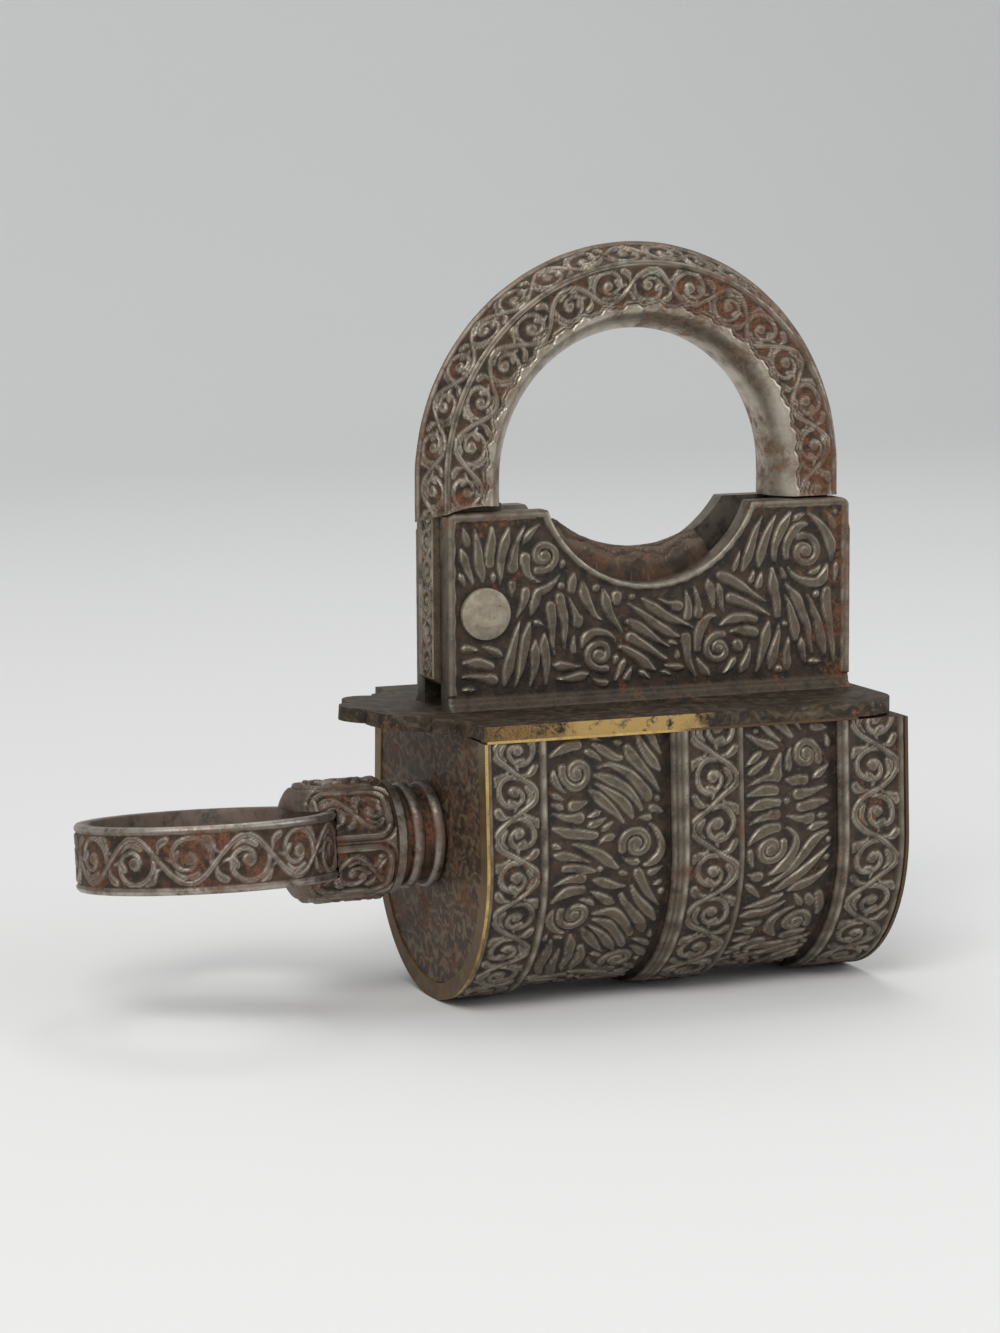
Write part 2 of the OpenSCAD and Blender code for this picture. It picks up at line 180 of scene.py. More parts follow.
# %% [markdown]
# ## Old steel
# Blackened steel wears in layers. The ground of the carving keeps a dark brown skin, the raised
# strokes are rubbed to grey, their rims are painted nearly bright, partly as wear and partly as a
# painted highlight, and rust blooms in patches over all of it. The carved pieces carry four numbers
# at each vertex: `relief` is the height, a rim number marks the rims' wear and painted highlight,
# `plain` marks what was polished, and `stain` says where more rust gathers. One recipe turns them
# into colour, so relief and colour can never drift apart.

# %% Old steel
RUST_DARK = tone(0.066, 0.027, 0.015)
RUST_LIGHT = tone(0.205, 0.082, 0.037)
RUST_EDGE = 0.12
BUMP = 0.00011


def warmed(colour, warmth):
    """The same colour under a brown film: a little more red, less green and much less blue."""
    red, green, blue, _ = colour
    return tone(red * (1 + 0.08 * warmth), green * (1 - 0.10 * warmth), blue * (1 - 0.34 * warmth))


def old_steel(name, ground, skin, worn, polish_and_highlight, rust, shine=1.0, streaks=None, scratched=0.32,
              brazed=False, chased=0.0, warmth=0.45):
    """rust is the share that rust covers, chased the strength of faint scrolls on plain plates."""
    ground = warmed(ground, warmth)
    skin = warmed(skin, warmth)
    worn = warmed(worn, 0.3 * warmth)
    film = tuple(0.5 * (a + b) for a, b in zip(skin, worn))
    recipe = Recipe(name)
    place = recipe.node("ShaderNodeTexCoord", out=3)
    relief = recipe.stored("relief")
    # The rims' number: wear and a painted highlight.
    edge = recipe.stored("edge")
    plain = recipe.stored("plain")
    stain = recipe.stored("stain")

    grain = recipe.noise(place, 3200, 4.0, 0.65)
    cloud = recipe.noise(place, 420, 4.0, 0.6)
    patch = recipe.noise(place, 150, 6.0, 0.70)
    speck = recipe.noise(place, 1150, 3.0, 0.6)
    if streaks:
        turned = recipe.node("ShaderNodeMapping", None, {"Vector": place, "Scale": streaks})
        scratch = recipe.noise(turned, 900, 3.0, 0.6)
    else:
        scratch = recipe.noise(place, 1900, 2.0, 0.5)

    # The ground: two dark tones, grey scratches and, on chased plates, faint scrolls.
    low = recipe.blend(recipe.step(cloud, 0.38, 0.66), ground, skin)
    low = recipe.blend(recipe.step(scratch, 0.56, 0.78) * scratched, low, worn)
    scrolls = 0.0
    if chased:
        rings = recipe.node("ShaderNodeTexWave", {"wave_type": "RINGS", "rings_direction": "X"},
                            {"Vector": place, "Scale": 125, "Distortion": 11.0, "Detail": 1.0,
                             "Detail Scale": 2.6})
        scrolls = recipe.step(rings, 0.50, 0.72) * chased
        low = recipe.blend(scrolls * recipe.step(cloud + 0.5 * speck, 0.52, 0.86), low, worn)
    # The strokes lie over it, then their bright rims, painted as wear and as a painted highlight,
    # then what was polished.
    high = recipe.blend(recipe.step(grain + cloud, 0.86, 1.30), worn, film)
    rubbed = relief * recipe.step(cloud + 0.5 * speck, 0.50, 0.86) * 0.55 + relief * 0.45
    colour = recipe.blend(rubbed, low, high)
    colour = recipe.blend(edge * recipe.step(cloud + 0.4 * grain, 0.42, 0.80), colour, polish_and_highlight)
    polished = recipe.blend(recipe.step(patch + 0.35 * cloud, 0.50, 0.86), polish_and_highlight, worn)
    colour = recipe.blend(plain * 0.92, colour, polished)

    # Rust covers the ground first and the rims last.
    limit = 0.93 - 0.62 * rust
    rusty = patch + 0.42 * speck + 0.06 * grain + 0.2 * stain
    rusty = recipe.step(rusty, limit, limit + RUST_EDGE)
    rusty = rusty * (1 - 0.45 * edge) * (1 - 0.25 * relief)
    rust_tone = recipe.blend(recipe.step(grain + 0.6 * speck, 0.62, 1.05), RUST_DARK, RUST_LIGHT)
    colour = recipe.blend(rusty * 0.9, colour, rust_tone)

    if brazed:
        smear = recipe.front_smear(place, cloud + 0.3 * grain)
        golden = recipe.step(recipe.part(place, "X") + 0.01 * cloud, -0.020, -0.012)
        ochre = recipe.blend(recipe.step(grain, 0.35, 0.7), tone(0.13, 0.070, 0.026),
                             tone(0.27, 0.155, 0.052))
        brass = recipe.blend(golden * 0.7, ochre, tone(0.52, 0.35, 0.12))
        colour = recipe.blend(smear, colour, brass)

    bare = (0.30 + 0.52 * relief + 0.25 * edge + 0.15 * plain) * (1 - 0.92 * rusty)
    rough = 0.60 - 0.15 * shine * relief - 0.12 * shine * plain - 0.08 * edge
    rough = rough + 0.24 * rusty + 0.16 * cloud - 0.04
    height = 0.6 * grain + 0.5 * scratch + 0.9 * rusty * speck + 0.4 * cloud + scrolls
    normal = recipe.node("ShaderNodeBump", None,
                         {"Strength": 0.45, "Distance": BUMP, "Height": height})
    return recipe.finish({"Base Color": colour, "Metallic": bare, "Roughness": rough,
                          "Normal": normal})


print("steel recipe ready")

# %% [markdown]
# ## Eight steels
# Each finish names four tones, from the ground up to the bright tone of polish and of the rims,
# where it is partly wear and partly a painted highlight, and its share of rust. Barrel
# and cheeks are nearly black, shackle and key are browner, and the rivet is rubbed bare.

# %% Eight steels
chased_steel = old_steel(
    "chased_steel", tone(0.018, 0.013, 0.009), tone(0.056, 0.038, 0.025),
    tone(0.188, 0.158, 0.122), tone(0.45, 0.41, 0.34), rust=0.15)
shackle_steel = old_steel(
    "shackle_steel", tone(0.025, 0.017, 0.011), tone(0.080, 0.049, 0.031),
    tone(0.228, 0.184, 0.140), tone(0.50, 0.45, 0.375), rust=0.235, warmth=0.60)
key_steel = old_steel(
    "key_steel", tone(0.023, 0.016, 0.011), tone(0.078, 0.043, 0.029),
    tone(0.205, 0.165, 0.132), tone(0.47, 0.43, 0.38), rust=0.27, warmth=0.75)
dark_plate = old_steel(
    "dark_plate", tone(0.017, 0.013, 0.009), tone(0.052, 0.037, 0.024),
    tone(0.145, 0.115, 0.080), tone(0.33, 0.29, 0.22), rust=0.14, streaks=(0.30, 2.4, 1.0),
    scratched=0.85, brazed=True, chased=0.35, warmth=0.75)
end_steel = old_steel(
    "end_steel", tone(0.036, 0.024, 0.016), tone(0.098, 0.062, 0.040),
    tone(0.215, 0.175, 0.125), tone(0.34, 0.29, 0.23), rust=0.26, scratched=0.60, chased=0.52,
    warmth=0.80)
brown_steel = old_steel(
    "brown_steel", tone(0.026, 0.017, 0.012), tone(0.084, 0.050, 0.032),
    tone(0.200, 0.150, 0.112), tone(0.34, 0.29, 0.23), rust=0.20, streaks=(1.0, 3.0, 0.14),
    scratched=1.0)
rivet_steel = old_steel(
    "rivet_steel", tone(0.25, 0.215, 0.165), tone(0.37, 0.335, 0.275),
    tone(0.46, 0.42, 0.35), tone(0.56, 0.52, 0.45), rust=0.16, shine=1.6, warmth=0.25)
inner_steel = old_steel(
    "inner_steel", tone(0.055, 0.046, 0.039), tone(0.130, 0.110, 0.092),
    tone(0.260, 0.235, 0.205), tone(0.45, 0.41, 0.36), rust=0.10, warmth=0.0)
for made in (chased_steel, shackle_steel, key_steel, dark_plate, end_steel, brown_steel,
             rivet_steel, inner_steel):
    print("finish", made.name, "with", len(made.node_tree.nodes), "nodes")

# %% [markdown]
# ## Braze brass
# The end of the barrel and the plate's long edges are brazed. Brass stays golden where fingers
# rub it and goes coppery where they don't, so its colour is a walk from gold to brown driven by
# slow noise. It turns darker towards the bottom, and beyond the middle of the lock's length it is
# painted nearly black as painted shade. End faces are a darker brown.

# %% Braze brass
def braze(name):
    recipe = Recipe(name)
    place = recipe.node("ShaderNodeTexCoord", out=3)
    grain = recipe.noise(place, 2600, 4.0, 0.6)
    cloud = recipe.noise(place, 190, 4.0, 0.6)
    grainy = recipe.step(grain, 0.35, 0.7)
    gold = recipe.blend(grainy, tone(0.56, 0.37, 0.11), tone(0.70, 0.50, 0.18))
    dull = recipe.blend(grainy, tone(0.17, 0.090, 0.035), tone(0.32, 0.17, 0.065))
    # Darker towards the bottom of the barrel.
    low = recipe.step(0 - recipe.part(place, "Z"), 0.075, 0.100)
    # Beyond the middle of the lock's length: painted shade.
    far = recipe.step(recipe.part(place, "X"), -0.006, 0.004)
    # Tarnish follows the noise; the bottom and the painted shade beyond the middle add to it.
    tarnish_and_shade = recipe.step(cloud + 0.25 * grain + 0.20 * low + 0.50 * far, 0.60, 0.86)
    colour = recipe.blend(tarnish_and_shade, gold, dull)
    # There the brass is painted nearly black, as painted shade.
    colour = recipe.blend(far * 0.8, colour, tone(0.070, 0.045, 0.026))
    # End faces that face along the lock are turned a darker brown.
    end_on = recipe.part(recipe.node("ShaderNodeTexCoord", out=1), "X")
    end_on = recipe.step(end_on * end_on, 0.5, 0.8)
    end_face_brown = recipe.blend(recipe.step(cloud, 0.4, 0.62), tone(0.060, 0.038, 0.024),
                         tone(0.13, 0.085, 0.05))
    colour = recipe.blend(end_on * 0.85, colour, end_face_brown)
    normal = recipe.node("ShaderNodeBump", None,
                         {"Strength": 0.35, "Distance": 0.0001, "Height": grain + cloud})
    return recipe.finish({"Base Color": colour, "Metallic": 0.92 - 0.4 * tarnish_and_shade - 0.2 * end_on,
                          "Roughness": 0.36 + 0.22 * tarnish_and_shade + 0.1 * end_on, "Normal": normal})


braze_brass = braze("braze_brass")
print("brass finish made")

# %% [markdown]
# ## Drawing ornament
# The smith cut the ground away and left strokes standing. Each stroke here is a run of points
# with a half width at each point, in millimetres.

# %% Strokes
def lancet(start, end, width, bow=0.0, count=9):
    """A leaf from start to end that swells to its width in the middle and may bow sideways."""
    along = np.linspace(0, 1, count)
    start = np.array(start, float)
    end = np.array(end, float)
    side = np.array([-(end - start)[1], (end - start)[0]])
    points = start + np.outer(along, end - start) + np.outer(np.sin(np.pi * along) * bow, side)
    return points, width * np.sin(np.pi * np.clip(along, 0.03, 0.97)) ** 0.6


def drop(start, end, width, bow=0.0, count=8):
    """A teardrop: thin at the start, round at the end."""
    points, _ = lancet(start, end, width, bow, count)
    along = np.linspace(0, 1, count)
    return points, 0.12 + (width - 0.12) * np.sin(np.pi * 0.62 * along) ** 1.5


def curl(centre, radius, start_angle, turns, way, width, shrink=0.84, count=40):
    """A spiral that tightens from radius towards its centre."""
    along = np.linspace(0, 1, count)
    angle = start_angle + way * 2 * np.pi * turns * along
    reach = radius * (1 - shrink * along)
    points = np.stack([centre[0] + reach * np.cos(angle), centre[1] + reach * np.sin(angle)], 1)
    return points, width * (1 - 0.25 * along)


def dot(centre, radius):
    points = np.array([centre, (centre[0] + 0.02, centre[1])], float)
    return points, np.array([radius, radius])


print("strokes: lancet, drop, curl, dot")

# %% [markdown]
# ## Distance sheets
# `draw` lays strokes on a small sheet and stores, for every spot, the distance to the nearest
# stroke's rim: below zero inside a stroke, above zero in the ground. Later layers cut a narrow moat
# through earlier ones, so a stem passes over its leaves. Distances serve better than painted masks:
# one sheet gives height, worn rims and colour at any size.

# %% Distance sheets
SHEET_STEP = 0.08
FAR = 1.5


def lay(field, s, t, stroke, length, reach=FAR):
    """Lowers field to the distance from one stroke's rim, wherever the stroke is near."""
    points, widths = stroke
    for shift in (-length, 0.0, length):
        for a, b, wa, wb in zip(points[:-1], points[1:], widths[:-1], widths[1:]):
            span = max(wa, wb) + reach
            s_low = np.searchsorted(s, min(a[0], b[0]) + shift - span)
            s_high = np.searchsorted(s, max(a[0], b[0]) + shift + span)
            t_low = np.searchsorted(t, min(a[1], b[1]) - span)
            t_high = np.searchsorted(t, max(a[1], b[1]) + span)
            if s_low >= s_high or t_low >= t_high:
                continue
            ds = s[s_low:s_high, None] - a[0] - shift
            dt = t[None, t_low:t_high] - a[1]
            run = b - a
            share = np.clip((ds * run[0] + dt * run[1]) / max(run @ run, 1e-9), 0, 1)
            gap = np.hypot(ds - share * run[0], dt - share * run[1]) - (wa + (wb - wa) * share)
            block = field[s_low:s_high, t_low:t_high]
            np.minimum(block, gap, out=block)


def grid(rows, columns):
    """Row values and column values, each spread over the same sheet."""
    return np.meshgrid(rows, columns, indexing="ij")


def lattice(length, half, step=SHEET_STEP):
    rows = int(round(length / step))
    columns = int(round(2 * half / step)) + 1
    return np.arange(rows) * length / rows, np.linspace(-half, half, columns)


def field_of(strokes, s, t, length):
    field = np.full((len(s), len(t)), FAR)
    for stroke in strokes:
        lay(field, s, t, stroke, length)
    return field


def draw(layers, length, half, moat=0.22):
    """The distance sheet of one repeat, length long and twice half wide."""
    s, t = lattice(length, half)
    sheet = np.full((len(s), len(t)), FAR)
    for layer in layers:
        here = field_of(layer, s, t, length)
        sheet = np.minimum(np.maximum(sheet, moat - here), here)
    return sheet


def look_up(sheet, length, half, s, t):
    """The sheet's distance at any place: it repeats along s and ends at its edges across t."""
    rows, columns = sheet.shape
    a = np.mod(s / length, 1.0) * rows
    i = np.floor(a).astype(int)
    fa = a - i
    b = np.clip((t + half) / (2 * half), 0, 1) * (columns - 1)
    j = np.minimum(np.floor(b).astype(int), columns - 2)
    fb = b - j
    i0 = i % rows
    i1 = (i + 1) % rows
    near = sheet[i0, j] * (1 - fb) + sheet[i0, j + 1] * fb
    far = sheet[i1, j] * (1 - fb) + sheet[i1, j + 1] * fb
    return near * (1 - fa) + far * fa


print("sheets have a spot every", SHEET_STEP, "mm")

# %% [markdown]
# ## The scrolling vine
# The bands, the shackle and the finger ring all carry the same idea: a stem that swings from side
# to side, with a shoot in every bay that curls back into a spiral and ends in a bud, and small
# leaves in the corners. One function draws it for any bay and any height.

# %% Vine
def vine_layers(bay, half, weight):
    swing = half - 0.40
    s = np.linspace(0, 2 * bay, 49)
    stem = np.stack([s, swing * np.sin(np.pi * s / bay)], 1)
    stems = [(stem, weight * (0.74 + 0.26 * np.abs(np.sin(np.pi * s / bay))))]
    shoots = []
    leaves = []
    for k in (0, 1):
        side = 1 if k == 0 else -1
        middle = (k + 0.5) * bay
        centre = (middle, -side * 0.12 * half)
        points, widths = curl(centre, 0.42 * bay, side * 0.30, 1.22, -side, 0.86 * weight, 0.80)
        shoots.append((points, widths))
        shoots.append(dot(centre + np.array([0.03 * bay, side * 0.02 * bay]), 0.098 * bay))
        shoots.append(drop((middle - 0.40 * bay, -side * 0.10 * half),
                           (middle - 0.17 * bay, -side * 0.30 * half), 1.05 * weight, side * 0.3))
        leaves.append(drop((middle - 0.22 * bay, side * 0.40 * half),
                           (middle + 0.16 * bay, side * 0.50 * half), 1.1 * weight, side * 0.25))
        for corner in (1, -1):
            leaves.append(drop((k * bay + corner * side * 0.02 * bay, corner * 0.30 * half),
                               (k * bay - corner * side * 0.13 * bay, corner * 0.82 * half),
                               1.35 * weight, corner * 0.2))
        leaves.append(drop((middle + 0.46 * bay, -side * 0.50 * half),
                           (middle + 0.26 * bay, -side * 0.90 * half), 0.95 * weight, side * 0.15))
    return [leaves, shoots, stems]


def vine(bay, half, weight=0.36):
    """A vine's sheet with its size, ready for look_up."""
    return draw(vine_layers(bay, half, weight), 2 * bay, half, 0.17), 2 * bay, half


print("vine ready")

# %% [markdown]
# ## Volutes and flowing leaves
# The barrel's two panels and the cheeks are filled edge to edge. A few volutes are set down first.
# The rest is grown: a leaf starts beside one already there, follows a direction that runs straight
# far from the volutes and wraps round them when near, stops before it comes too close to its
# neighbours, and tapers off. Long broad leaves go first, then shorter and thinner ones, then dots.
# A seeded generator picks the starts, so the surface is dense and uneven like hand work.

# %% Flowing leaves
# A leaf row is its half width, its most and least length, and how many starts are tried.
LEAVES = ((0.72, 15, 7.0, 400), (0.64, 10, 4.2, 700), (0.52, 6, 2.4, 1300), (0.40, 3.5, 1.4, 1500))
DOTS = (0.38, 0.56, 900)
GAP = 0.40
STRIDE = 0.5
FIELD_STEP = 0.2
FIELD_REACH = 3.0
VOLUTE_HALF = 0.56
LINE_PULL = 0.34


class Field:
    """The room still free on a sheet, and the strokes set into it."""

    def __init__(self, length, half, kept_clear):
        self.length = length
        self.half = half
        self.s, self.t = lattice(length, half, FIELD_STEP)
        grid_s, grid_t = grid(self.s, self.t)
        self.free = half - np.abs(grid_t) - 0.05
        if kept_clear is not None:
            self.free = np.minimum(self.free, kept_clear(grid_s, grid_t))
        self.strokes = []

    def room(self, at):
        """The distance from a place to whatever is nearest."""
        i = int(round(at[0] % self.length / self.length * len(self.s))) % len(self.s)
        j = int(round((at[1] + self.half) / (2 * self.half) * (len(self.t) - 1)))
        return self.free[i, j] if 0 <= j < len(self.t) else -FAR

    def place(self, stroke):
        self.strokes.append(stroke)
        lay(self.free, self.s, self.t, stroke, self.length, FIELD_REACH)

    def grow(self, start, aim, width, most, least):
        """Grows one leaf both ways from start along aim(place) and gives its points, or None."""
        if self.room(start) < width + GAP:
            return None
        need = 0.72 * width + 0.8 * GAP
        arms = []
        for way in (1, -1):
            arm = []
            at = start
            while len(arm) * STRIDE < most / 2:
                turn = aim(at)
                at = at + way * STRIDE * np.array([np.cos(turn), np.sin(turn)])
                if self.room(at) < need:
                    break
                arm.append(at)
            arms.append(arm)
        points = np.array(arms[1][::-1] + [start] + arms[0])
        if (len(points) - 1) * STRIDE < least:
            return None
        along = np.linspace(0, 1, len(points))
        if len(self.strokes) % 2:
            along = 1 - along
        self.place((points, width * np.minimum(0.30 + 3.6 * along, 1.16 - 1.06 * along ** 2.2)))
        return points


print("field tools ready")

# %% [markdown]
# ## Filling a field
# `flowing` sets the volutes down, then tries each row of `LEAVES` in turn. A leaf that found room
# asks for one more on each side of it, so leaves come in bundles that lie alongside each other.

# %% Filling a field
def flowing(length, half, upright, seed, volutes, kept_clear=None):
    """A sheet of volutes (s, t, radius, way) and leaves. kept_clear(s, t) is a distance to avoid."""
    chance = np.random.default_rng(seed)
    sheet = Field(length, half, kept_clear)
    for s, t, radius, way in volutes:
        centre = np.array([s, t])
        opening = way * 1.2 + np.pi * (t > 0)
        sheet.place(curl(centre, radius - 0.6, opening, 1.45, way, VOLUTE_HALF, 0.80))
        sheet.place(dot(centre, 0.25 * radius))

    def aim(at):
        """Directions are summed at twice their angle, so a line and its reverse count as one."""
        lean = upright + 0.34 * np.sin(0.31 * at[0] + seed) + 0.10 * np.sin(0.3 * at[1] - 0.2 * at[0])
        total = LINE_PULL * np.exp(2j * lean)
        for s, t, radius, way in volutes:
            ds = (at[0] - s + length / 2) % length - length / 2
            turn = np.arctan2(at[1] - t, ds) + np.pi / 2
            total += np.exp(-(np.hypot(ds, at[1] - t) / (1.9 * radius)) ** 2) * np.exp(2j * turn)
        return 0.5 * np.angle(total)

    def aim_across(at):
        return aim(at) + 1.2

    for width, most, least, tries in LEAVES:
        for trial in range(tries):
            start = np.array([chance.uniform(0, length), chance.uniform(-half, half)])
            way = aim_across if trial % 5 == 4 else aim
            fresh = [sheet.grow(start, way, width, most * chance.uniform(0.6, 1), least)]
            while fresh:
                points = fresh.pop()
                if points is None:
                    continue
                at = len(points) // 2
                run = points[at] - points[at - 1]
                side = np.array([-run[1], run[0]]) / STRIDE * (2 * width + GAP + 0.12)
                for turn in (1, -1):
                    fresh.append(sheet.grow(points[at] + turn * side, way, width,
                                            most * chance.uniform(0.5, 1), least))
    smallest, largest, tries = DOTS
    for _ in range(tries):
        at = np.array([chance.uniform(0, length), chance.uniform(-half, half)])
        size = chance.uniform(smallest, largest)
        if sheet.room(at) > size + GAP:
            sheet.place(dot(at, size))
    s, t = lattice(length, half)
    print("flowing leaves:", len(sheet.strokes))
    return field_of(sheet.strokes, s, t, length), length, half


print("leaf rows:", len(LEAVES))

# %% [markdown]
# ## From distance to carving
# A chisel leaves sloping sides and a softly worn top. `carved` turns distance into height from 0
# in the ground to 1 on the stroke, and marks the rim that is painted bright, partly as wear and
# partly as a painted highlight. `waver` bends the drawing a little, as a hand does.

# %% Carving
SLOPE = 0.36
RIM_IN = 0.10
RIM_WIDTH = 0.12


def soft(value):
    value = np.clip(value, 0, 1)
    return value * value * (3 - 2 * value)


def waver(s, t, amount=0.30, seed=0.0):
    """Moves the drawing slightly, by smooth waves that never repeat exactly."""
    bend_s = np.sin(0.71 * t + 0.23 * s + seed) + 0.6 * np.sin(0.37 * s - 1.13 * t + 2.1 * seed)
    bend_t = np.sin(0.53 * s + 0.19 * t + 1.7 * seed) + 0.6 * np.sin(1.07 * s + 0.31 * t + seed)
    return s + amount * bend_s, t + 0.7 * amount * bend_t


def carved(distance, s, t):
    """Height, and the rim's painted brightness of wear and highlight, for a distance to the nearest
    stroke's rim.
    """
    height = soft(0.5 - distance / SLOPE)
    dome = 0.92 + 0.08 * soft(-distance / 0.30)
    worn = 0.5 + 0.5 * np.sin(0.9 * s + 1.3 * np.sin(0.7 * t)) * np.sin(1.1 * t + 0.4 * s)
    # The rim is painted bright as wear and as a painted highlight, varying along the stroke.
    rim = np.exp(-((distance + RIM_IN) / RIM_WIDTH) ** 2) * (0.40 + 0.60 * worn)
    return height * dome * (0.88 + 0.12 * worn), rim


def bead(place, middle, half_width, height):
    """A rounded moulding across a band."""
    return height * np.sqrt(np.clip(1 - ((place - middle) / half_width) ** 2, 0, 1))


shackle_vine = vine(6.9, 3.0, 0.34)
gable_vine = vine(6.6, 2.75, 0.32)
band_vine = vine(6.4, 3.35, 0.40)
wide_vine = vine(7.3, 4.1, 0.42)
ring_vine = vine(8.6, 3.7, 0.38)
slim_vine = vine(4.6, 2.1, 0.27)
print("vine sheets:", shackle_vine[0].shape, wide_vine[0].shape, ring_vine[0].shape)

# %% [markdown]
# ## Sheets into pieces
# Naming, placing, selecting and editing come up for every piece, so each has a short function.
# Points are written in millimetres of the frame that the CAD was drawn in, and `put` carries them
# over to metres in the scene.

# %% Small tools
MM = 0.001
HANG = np.array([-33.4, 0.0, -57.2])
WELD = 0.000004


def put(points):
    """Millimetres of the working frame as metres in the scene."""
    return (np.array(points) + HANG) * MM


def named(name):
    """The object that was just added, with its new name."""
    piece = bpy.context.object
    piece.name = name
    piece.data.name = name
    return piece


def set_points(piece, points):
    """Moves every vertex of a piece to its point."""
    piece.data.vertices.foreach_set("co", put(points).reshape(-1))
    piece.data.update()


def only(piece):
    """Selects one piece and nothing else."""
    bpy.ops.object.select_all(action="DESELECT")
    piece.select_set(True)
    bpy.context.view_layer.objects.active = piece


def dress(piece, material, slot, body, *nodes):
    piece.data.materials.clear()
    piece.data.materials.append(material)
    if nodes:
        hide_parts(*nodes)
    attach(piece, body)
    print(piece.name, len(piece.data.polygons), "faces")


def edit(piece, *steps):
    """Runs edit-mode steps on one piece with everything selected at the start."""
    only(piece)
    bpy.ops.object.mode_set(mode="EDIT")
    bpy.ops.mesh.select_all(action="SELECT")
    for step in steps:
        step()
    bpy.ops.object.mode_set(mode="OBJECT")


def close_up():
    """Welds the seam, fills the ends and turns the faces outwards."""
    bpy.ops.mesh.remove_doubles(threshold=WELD)
    bpy.ops.mesh.fill_holes(sides=0)
    turn_outwards()


def turn_outwards():
    bpy.ops.mesh.select_all(action="SELECT")
    bpy.ops.mesh.normals_make_consistent(inside=False)


print("edit tools ready")

# %% [markdown]
# ## Weaving
# A carved piece is one grid primitive with as many divisions as its points. Its vertices are laid
# on the carved surface, which closes round on itself, and the four numbers of its finish are
# stored. Then the ordinary edit-mode operators weld the seam, fill the ends and turn the faces
# outwards.

# %% Weaving a closed piece
def closed(outer, inner):
    """Outer columns, inner columns and the first one again, so that a sheet closes round."""
    return np.concatenate([outer, inner, outer[:, :1]], 1)


def woven(name, points, relief, edge, plain=None, stain=None, smooth=52):
    """points is rows x columns x (x, y, z) in millimetres of the working frame."""
    rows, columns = points.shape[:2]
    bpy.ops.object.select_all(action="DESELECT")
    bpy.ops.mesh.primitive_grid_add(x_subdivisions=columns - 1, y_subdivisions=rows - 1, size=1)
    piece = named(name)
    while piece.data.uv_layers:
        piece.data.uv_layers.remove(piece.data.uv_layers[0])
    set_points(piece, points)
    plain = np.zeros((rows, columns)) if plain is None else plain
    stain = np.zeros((rows, columns)) if stain is None else stain
    for key, value in (("relief", relief), ("edge", edge), ("plain", plain), ("stain", stain)):
        layer = piece.data.attributes.new(key, "FLOAT", "POINT")
        layer.data.foreach_set("value", np.ascontiguousarray(value, dtype=np.float32).reshape(-1))
    edit(piece, close_up)
    bpy.ops.object.shade_smooth_by_angle(angle=math.radians(smooth))
    return piece


print("weaving tools ready")

# %% [markdown]
# ## The barrel's section
# The body is one sheet bent to a U: a round bottom and two nearly straight sides that lean in a
# little. Shell and bands share this path, each at its own inset, so a band sits on the panel
# under it exactly.

# %% Barrel path
BARREL_R = 24.2
BOWL_Z = -21.3
LEAN = math.asin(0.9 / 21.3)
SHELL_TOP = -2.6
PANEL_IN = 1.0
SHEET_IN = 2.6
STRAIGHT = (SHELL_TOP - BOWL_Z - BARREL_R * math.sin(LEAN)) / math.cos(LEAN)
ARC = (math.pi + 2 * LEAN) * BARREL_R
PATH = 2 * STRAIGHT + ARC


def barrel_at(run, inset):
    """(y, z) at a distance along the path, for an inset from the outermost section."""
    radius = BARREL_R - inset
    side_y = radius * math.cos(LEAN)
    side_z = BOWL_Z + radius * math.sin(LEAN)
    top_y = side_y - math.tan(LEAN) * (SHELL_TOP - side_z)
    down = np.clip(run / STRAIGHT, 0, 1)
    back = np.clip((PATH - run) / STRAIGHT, 0, 1)
    turn = LEAN - np.clip(run - STRAIGHT, 0, ARC) / BARREL_R
    y = radius * np.cos(turn)
    z = BOWL_Z + radius * np.sin(turn)
    y = np.where(down < 1, top_y + (side_y - top_y) * down, y)
    z = np.where(down < 1, SHELL_TOP + (side_z - SHELL_TOP) * down, z)
    y = np.where(back < 1, -(top_y + (side_y - top_y) * back), y)
    z = np.where(back < 1, SHELL_TOP + (side_z - SHELL_TOP) * back, z)
    return y, z


print("path round the barrel:", round(PATH, 1), "mm")


def barrel_piece(name, outer_x, inner_x, inner_inset, carve, stations):
    """A strip of the barrel: carve gives inset, relief and rim for (run, x) on its outer side."""
    run = np.linspace(0, PATH, stations)
    run_out, x_out = grid(run, outer_x)
    inset_out, relief_out, edge_out = carve(run_out, x_out)
    run_in, x_in = grid(run, inner_x)
    blank = np.zeros(x_in.shape)
    y, z = barrel_at(closed(run_out, run_in), closed(inset_out, blank + inner_inset))
    points = np.stack([closed(x_out, x_in), y, z], 2)
    return woven(name, points, closed(relief_out, blank), closed(edge_out, blank))


# %% [markdown]
# ## Barrel shell
# Only the two panels between the bands are seen, so only they are dense. Each has its own field
# of leaves. The strokes stand at the CAD surface and the ground lies half a millimetre below it.

# %% Barrel shell
PANEL_DEPTH = 0.50
UNDER_BAND = PANEL_IN + 0.03
SHELL_STATIONS = 515


def volutes_along(count, aside, radius, first):
    """Volutes spaced evenly along a panel, to the left and right in turn."""
    step = PATH / count
    return [(first + k * step, aside * (-1) ** k, radius, int((-1) ** k)) for k in range(count)]


wide_panel = flowing(PATH, 9.95, np.pi / 2, 3, volutes_along(10, 4.8, 3.1, 6.0))
short_panel = flowing(PATH, 7.85, np.pi / 2 - 0.45, 8, volutes_along(8, -3.1, 2.9, 9.0))
PANELS = ((9.5, 29.8, wide_panel, 0.4), (41.9, 57.9, short_panel, 2.6))


